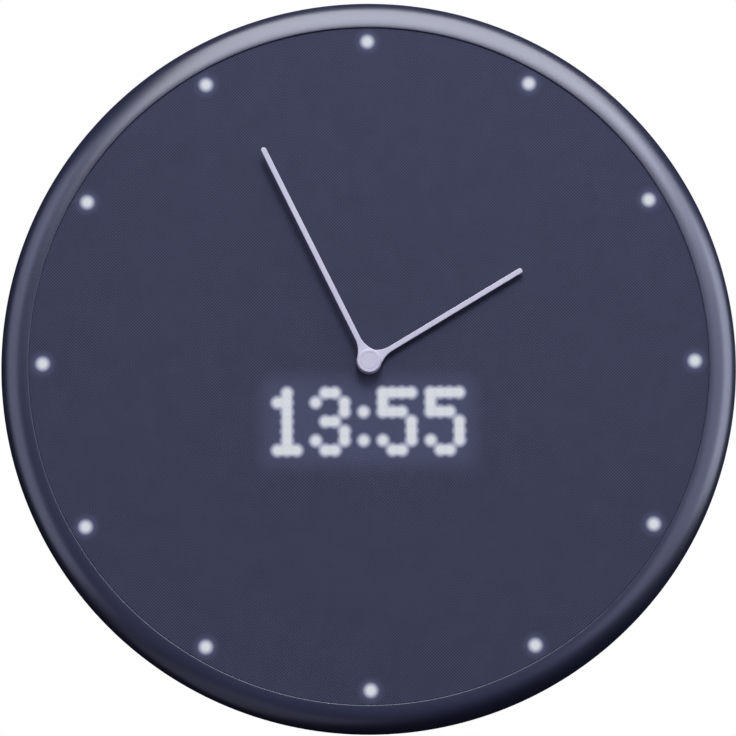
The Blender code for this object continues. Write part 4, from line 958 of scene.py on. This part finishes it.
# %% Walls that stay in the hollow
UNDER = -MM
REBATE = 0.3 * MM
POCKET = ((-13 * MM, 73.8 * MM), (13 * MM, 99.8 * MM))
POCKET_FRONT = 11.4 * MM
PLUG = ((-9 * MM, -104 * MM), (9 * MM, -70 * MM))
PLUG_DEPTH = 12.05 * MM
CHANNEL_HALF = 3.25 * MM
CHANNEL_DEPTH = 6.5 * MM
PAD = ((-22.5 * MM, -58.5 * MM), (22.5 * MM, -45.5 * MM))
PAD_DEPTH = 1.3 * MM
PILLAR_RADIUS = 4.3 * MM
SCREW_CIRCLE = 144.7 * MM

case_screws = ring_of(SCREW_CIRCLE, 6)
hanger_low, hanger_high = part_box("hanger_plate")
hanger_seat = widened((hanger_low.x, hanger_low.z), (hanger_high.x, hanger_high.z), REBATE)
plug_bottom = PLUG[0][1]
kept = [
    block(*widened(*hanger_seat, WALL), UNDER, POCKET_FRONT + WALL),
    block(*widened(*PLUG, WALL), UNDER, PLUG_DEPTH + WALL),
    block((-CHANNEL_HALF - WALL, -DISH_RADIUS), (CHANNEL_HALF + WALL, plug_bottom), UNDER,
          CHANNEL_DEPTH + WALL),
    block(*widened(*PAD, WALL), UNDER, PAD_DEPTH + WALL),
    *rods(case_screws, PILLAR_RADIUS, UNDER, DISH_FRONT + 2 * MM),
]
hollow = worked(hollow, "DIFFERENCE", kept)
print("the hollow has", len(hollow.polygons), "faces round", len(kept), "walls")

# %% Pockets, wells and holes
HANGER_DEPTH = 3.4 * MM
CHANNEL_END = 160 * MM
SOCKET_SLOT = ((-4.75 * MM, -72.4 * MM), (4.75 * MM, -65.2 * MM))
SOCKET_REAR, SOCKET_FRONT = 5.6 * MM, 9.5 * MM
BUTTON_ROW = -52 * MM
BUTTON_STEP = 16 * MM
BUTTON_HOLE = 3.9 * MM
BUTTON_HOLE_FRONT = 5 * MM
WELL_RADIUS = 3.2 * MM
WELL_FRONT = 19.5 * MM
SHANK_HOLE = 1.6 * MM
SHELL_EASE = 0.35 * MM

button_places = [(side * BUTTON_STEP, BUTTON_ROW) for side in (-1, 0, 1)]
cuts = [
    hollow,
    block(*hanger_seat, UNDER, HANGER_DEPTH, corner=2.2 * MM),
    block(*POCKET, 0.0, POCKET_FRONT, corner=3 * MM),
    block(*PLUG, UNDER, PLUG_DEPTH, corner=2 * MM),
    block((-CHANNEL_HALF, -CHANNEL_END), (CHANNEL_HALF, plug_bottom + WALL), UNDER, CHANNEL_DEPTH),
    block(*PAD, UNDER, PAD_DEPTH, corner=6 * MM),
    block(*SOCKET_SLOT, SOCKET_REAR, SOCKET_FRONT),
    *rods(button_places, BUTTON_HOLE, UNDER, BUTTON_HOLE_FRONT),
    *rods(case_screws, WELL_RADIUS, UNDER, WELL_FRONT),
    *rods(case_screws, SHANK_HOLE, WELL_FRONT - MM, DISH_FRONT + MM, steps=16),
]
shell = worked(dish, "DIFFERENCE", cuts, ease=SHELL_EASE)
piece("back_shell", shell, "case", back_plastic, "housing", "rear_housing")

# %% [markdown]
# ## Hanger, screws and buttons
#
# The hanger is a stamped plate with a keyhole: the wall screw's head goes in at the round part, and the
# clock then drops until the screw sits in the slot. The screws have rounded heads with a cross recess. The
# buttons are soft rubber with a raised mark: a ring for set, a cross for plus and a bar for minus. Threads
# are left off, because they are hidden in the holes. Recesses are cut and marks joined on by booleans, so
# that each piece stays one closed mesh.

# %% Hanger plate
KEYHOLE_ENTRY = 82.05 * MM
KEYHOLE_RADIUS = 5 * MM
KEYHOLE_TRAVEL = 9.5 * MM
SLOT_HALF = 2.8 * MM
HANGER_CORNER = 2 * MM
HANGER_EASE = 0.2 * MM
HANGER_HOLE = 1.3 * MM
HANGER_HOLE_SIDE = 17 * MM

_, hanger_up = centre("hanger_plate")
edge = math.degrees(math.asin(SLOT_HALF / KEYHOLE_RADIUS))
keyhole = arc((0.0, KEYHOLE_ENTRY), KEYHOLE_RADIUS, 90 + edge, 450 - edge, 40)
keyhole += arc((0.0, KEYHOLE_ENTRY + KEYHOLE_TRAVEL), SLOT_HALF, 0, 180, 20)
hanger_size = hanger_high.x - hanger_low.x, hanger_high.z - hanger_low.z
outline = rounded(*hanger_size, HANGER_CORNER, (0.0, hanger_up))
holes = [ring_of(HANGER_HOLE, 24, (side * HANGER_HOLE_SIDE, hanger_up)) for side in (-1, 1)]
stamped = plate("keyhole_plate", [outline, keyhole, *holes], *heights("hanger_plate"), HANGER_EASE)
piece("keyhole_plate", stamped, "case", zinc_steel, "steel", "hanger_plate")

# %% Screws with a cross recess
CASE_SCREW = (1.3 * MM, 2.7 * MM, 2 * MM)
HANGER_SCREW = (MM, 2 * MM, 1.1 * MM)
CASE_SPIN, HANGER_SPIN = 0.7, 0.4
SCREW_STEPS = 32
HEAD_ROUND = 0.55
TIP_WIDTH, TIP_TAPER = 0.6, 0.5
RECESS_HALF, RECESS_WIDTH, RECESS_DEPTH = 0.55, 0.24, 0.6


def cross(half, width):
    w = width / 2
    return [(half, w), (w, w), (w, half), (-w, half), (-w, w), (-half, w),
            (-half, -w), (-w, -w), (-w, -half), (w, -half), (w, -w), (half, -w)]


def make_screw(node, name, shank, head, head_height, spin):
    rear, tip = heights(node)
    seat = rear + head_height
    round_off = head_height * HEAD_ROUND
    profile = [(0.0, tip), (shank * TIP_WIDTH, tip), (shank, tip - shank * TIP_TAPER), (shank, seat),
               (head, seat)]
    profile += arc((head - round_off, rear + round_off), round_off, 0, -90, 6)
    profile += [(0.0, rear)]
    recess = plate("recess", [cross(head * RECESS_HALF, head * RECESS_WIDTH)], rear - MM,
                   rear + head_height * RECESS_DEPTH)
    recess.transform(Matrix.Rotation(spin, 4, "Y"))
    screw = worked(turned(name, profile, SCREW_STEPS), "DIFFERENCE", [recess])
    screw.transform(Matrix.Translation(at(*centre(node), 0.0)))
    piece(name, screw, "case", zinc_steel, "steel", node)


for number in range(1, 7):
    make_screw(f"case_screw_{number}", f"cross_screw_{number}", *CASE_SCREW, spin=number * CASE_SPIN)
for number, side in enumerate(("left", "right")):
    make_screw(f"hanger_screw_{side}", f"hanger_cross_screw_{side}", *HANGER_SCREW,
               spin=HANGER_SPIN + number)

# %% Buttons
FLANGE = MM
BUTTON_RIM = 0.6 * MM
BUTTON_STEPS = 48
MARK_HEIGHT = 0.25 * MM
MARK_EASE = 0.08 * MM
MARK_LINE = 0.7 * MM
MARK_STEPS = 40


def make_button(key, mark):
    node = f"{key}_button"
    low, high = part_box(node)
    face, front = heights(node)
    outer = (high.x - low.x) / 2
    radius = outer - FLANGE
    profile = [(0.0, front), (outer, front), (outer, front - FLANGE), (radius, front - FLANGE)]
    profile += arc((radius - BUTTON_RIM, face + BUTTON_RIM), BUTTON_RIM, 0, -90, 6)
    profile += [(0.0, face)]
    raised = plate("mark", mark, face - MARK_HEIGHT, face + MARK_HEIGHT, MARK_EASE)
    button = worked(turned(f"{key}_key_cap", profile, BUTTON_STEPS), "UNION", [raised])
    button.transform(Matrix.Translation(at(*centre(node), 0.0)))
    piece(f"{key}_key_cap", button, f"{key}_key", button_rubber, "buttons", node)


make_button("set", [ring_of(1.5 * MM, MARK_STEPS), ring_of(0.9 * MM, MARK_STEPS)])
make_button("plus", [cross(1.6 * MM, MARK_LINE)])
make_button("minus", [rounded(3.2 * MM, MARK_LINE, 0.3 * MM)])

# %% [markdown]
# ## The works
#
# Finally each solid that stays gets its finish: the white pan, the clear light guide, green boards with
# fine traces, black dot blocks with white lenses, nylon wheels, brass and steel arbors, a wrapped battery
# and a striped ribbon. Traces and stripes could be modelled, but nobody sees them with the case closed, so
# they are patterns: the remainder of a place after whole steps repeats along the piece.

# %% Finishes with a pattern
PATTERN_GRAIN = 0.4 * MM
PATTERN_DEPTH = 0.02 * MM


def patterned(name, first, second, roughness, pattern):
    made, net, shader = new_finish(name)
    where = net.place()
    across, _, up = net.axes(where)
    share = pattern(net, across, up)
    grain = net.speckle(where, PATTERN_GRAIN)
    net.feed(shader, {
        "Base Color": net.mix(share, (*first, 1.0), (*second, 1.0)),
        "Roughness": roughness + grain * 0.1,
        "Normal": net.bump(share + grain * 0.2, PATTERN_DEPTH),
    })
    return made


# %% Lenses, traces, stripes and wrap
LENS_EDGE = (0.4, 0.46)
TRACE_STEP = 1.6 * MM
TRACE_EDGE = (0.25 * MM, 0.35 * MM)
TRACE_BEND = 12 * MM
TRACE_SWAY = 18 * MM
STRIPE_STEP = 1.2 * MM
STRIPE_EDGE = (0.3 * MM, 0.4 * MM)
WRAP_CLOUD = 12 * MM


def lenses(net, across, up):
    return net.fade(from_dot(net, *on_dots(across, up)), *LENS_EDGE)


def traces(net, across, up):
    bend = net.speckle(net.place(), TRACE_SWAY, detail=0.0) * TRACE_BEND
    return net.fade(abs((across + up + bend) % TRACE_STEP - TRACE_STEP / 2), *TRACE_EDGE)


def stripes(net, across, up):
    return net.fade(abs(across % STRIPE_STEP - STRIPE_STEP / 2), *STRIPE_EDGE)


def wrap(net, across, up):
    return net.speckle(net.place(), WRAP_CLOUD)


# %% Put the finishes on
works = {
    "dial": moulded("white_pan", (0.62, 0.62, 0.60), 0.5),
    "light_guide": moulded("clear_guide", (0.75, 0.78, 0.80), 0.2, grain_depth=0.002 * MM),
    "board": patterned("board_mask", (0.010, 0.05, 0.03), (0.022, 0.09, 0.05), 0.4, traces),
    "matrix": patterned("dot_block", (0.012, 0.012, 0.013), (0.6, 0.6, 0.58), 0.45, lenses),
    "movement": moulded("movement_case", (0.10, 0.10, 0.11), 0.5),
    "brass": turned_brass,
    "steel": zinc_steel,
    "gears": moulded("nylon", (0.66, 0.64, 0.58), 0.45, grain_depth=0.003 * MM),
    "battery": patterned("cell_wrap", (0.04, 0.13, 0.26), (0.06, 0.19, 0.34), 0.35, wrap),
    "ribbon": patterned("ribbon_film", (0.45, 0.30, 0.12), (0.62, 0.46, 0.25), 0.35, stripes),
    "bezel": indigo_satin,
    "fabric": dial_weave,
    "hands": lilac_paint,
    "housing": back_plastic,
    "buttons": button_rubber,
}
for part in frame["record"]["subparts"]:
    solid = nodes[part["node"]].data
    solid.materials.clear()
    solid.materials.append(works[part["material_slot"]])
print("finishes:", len(works))
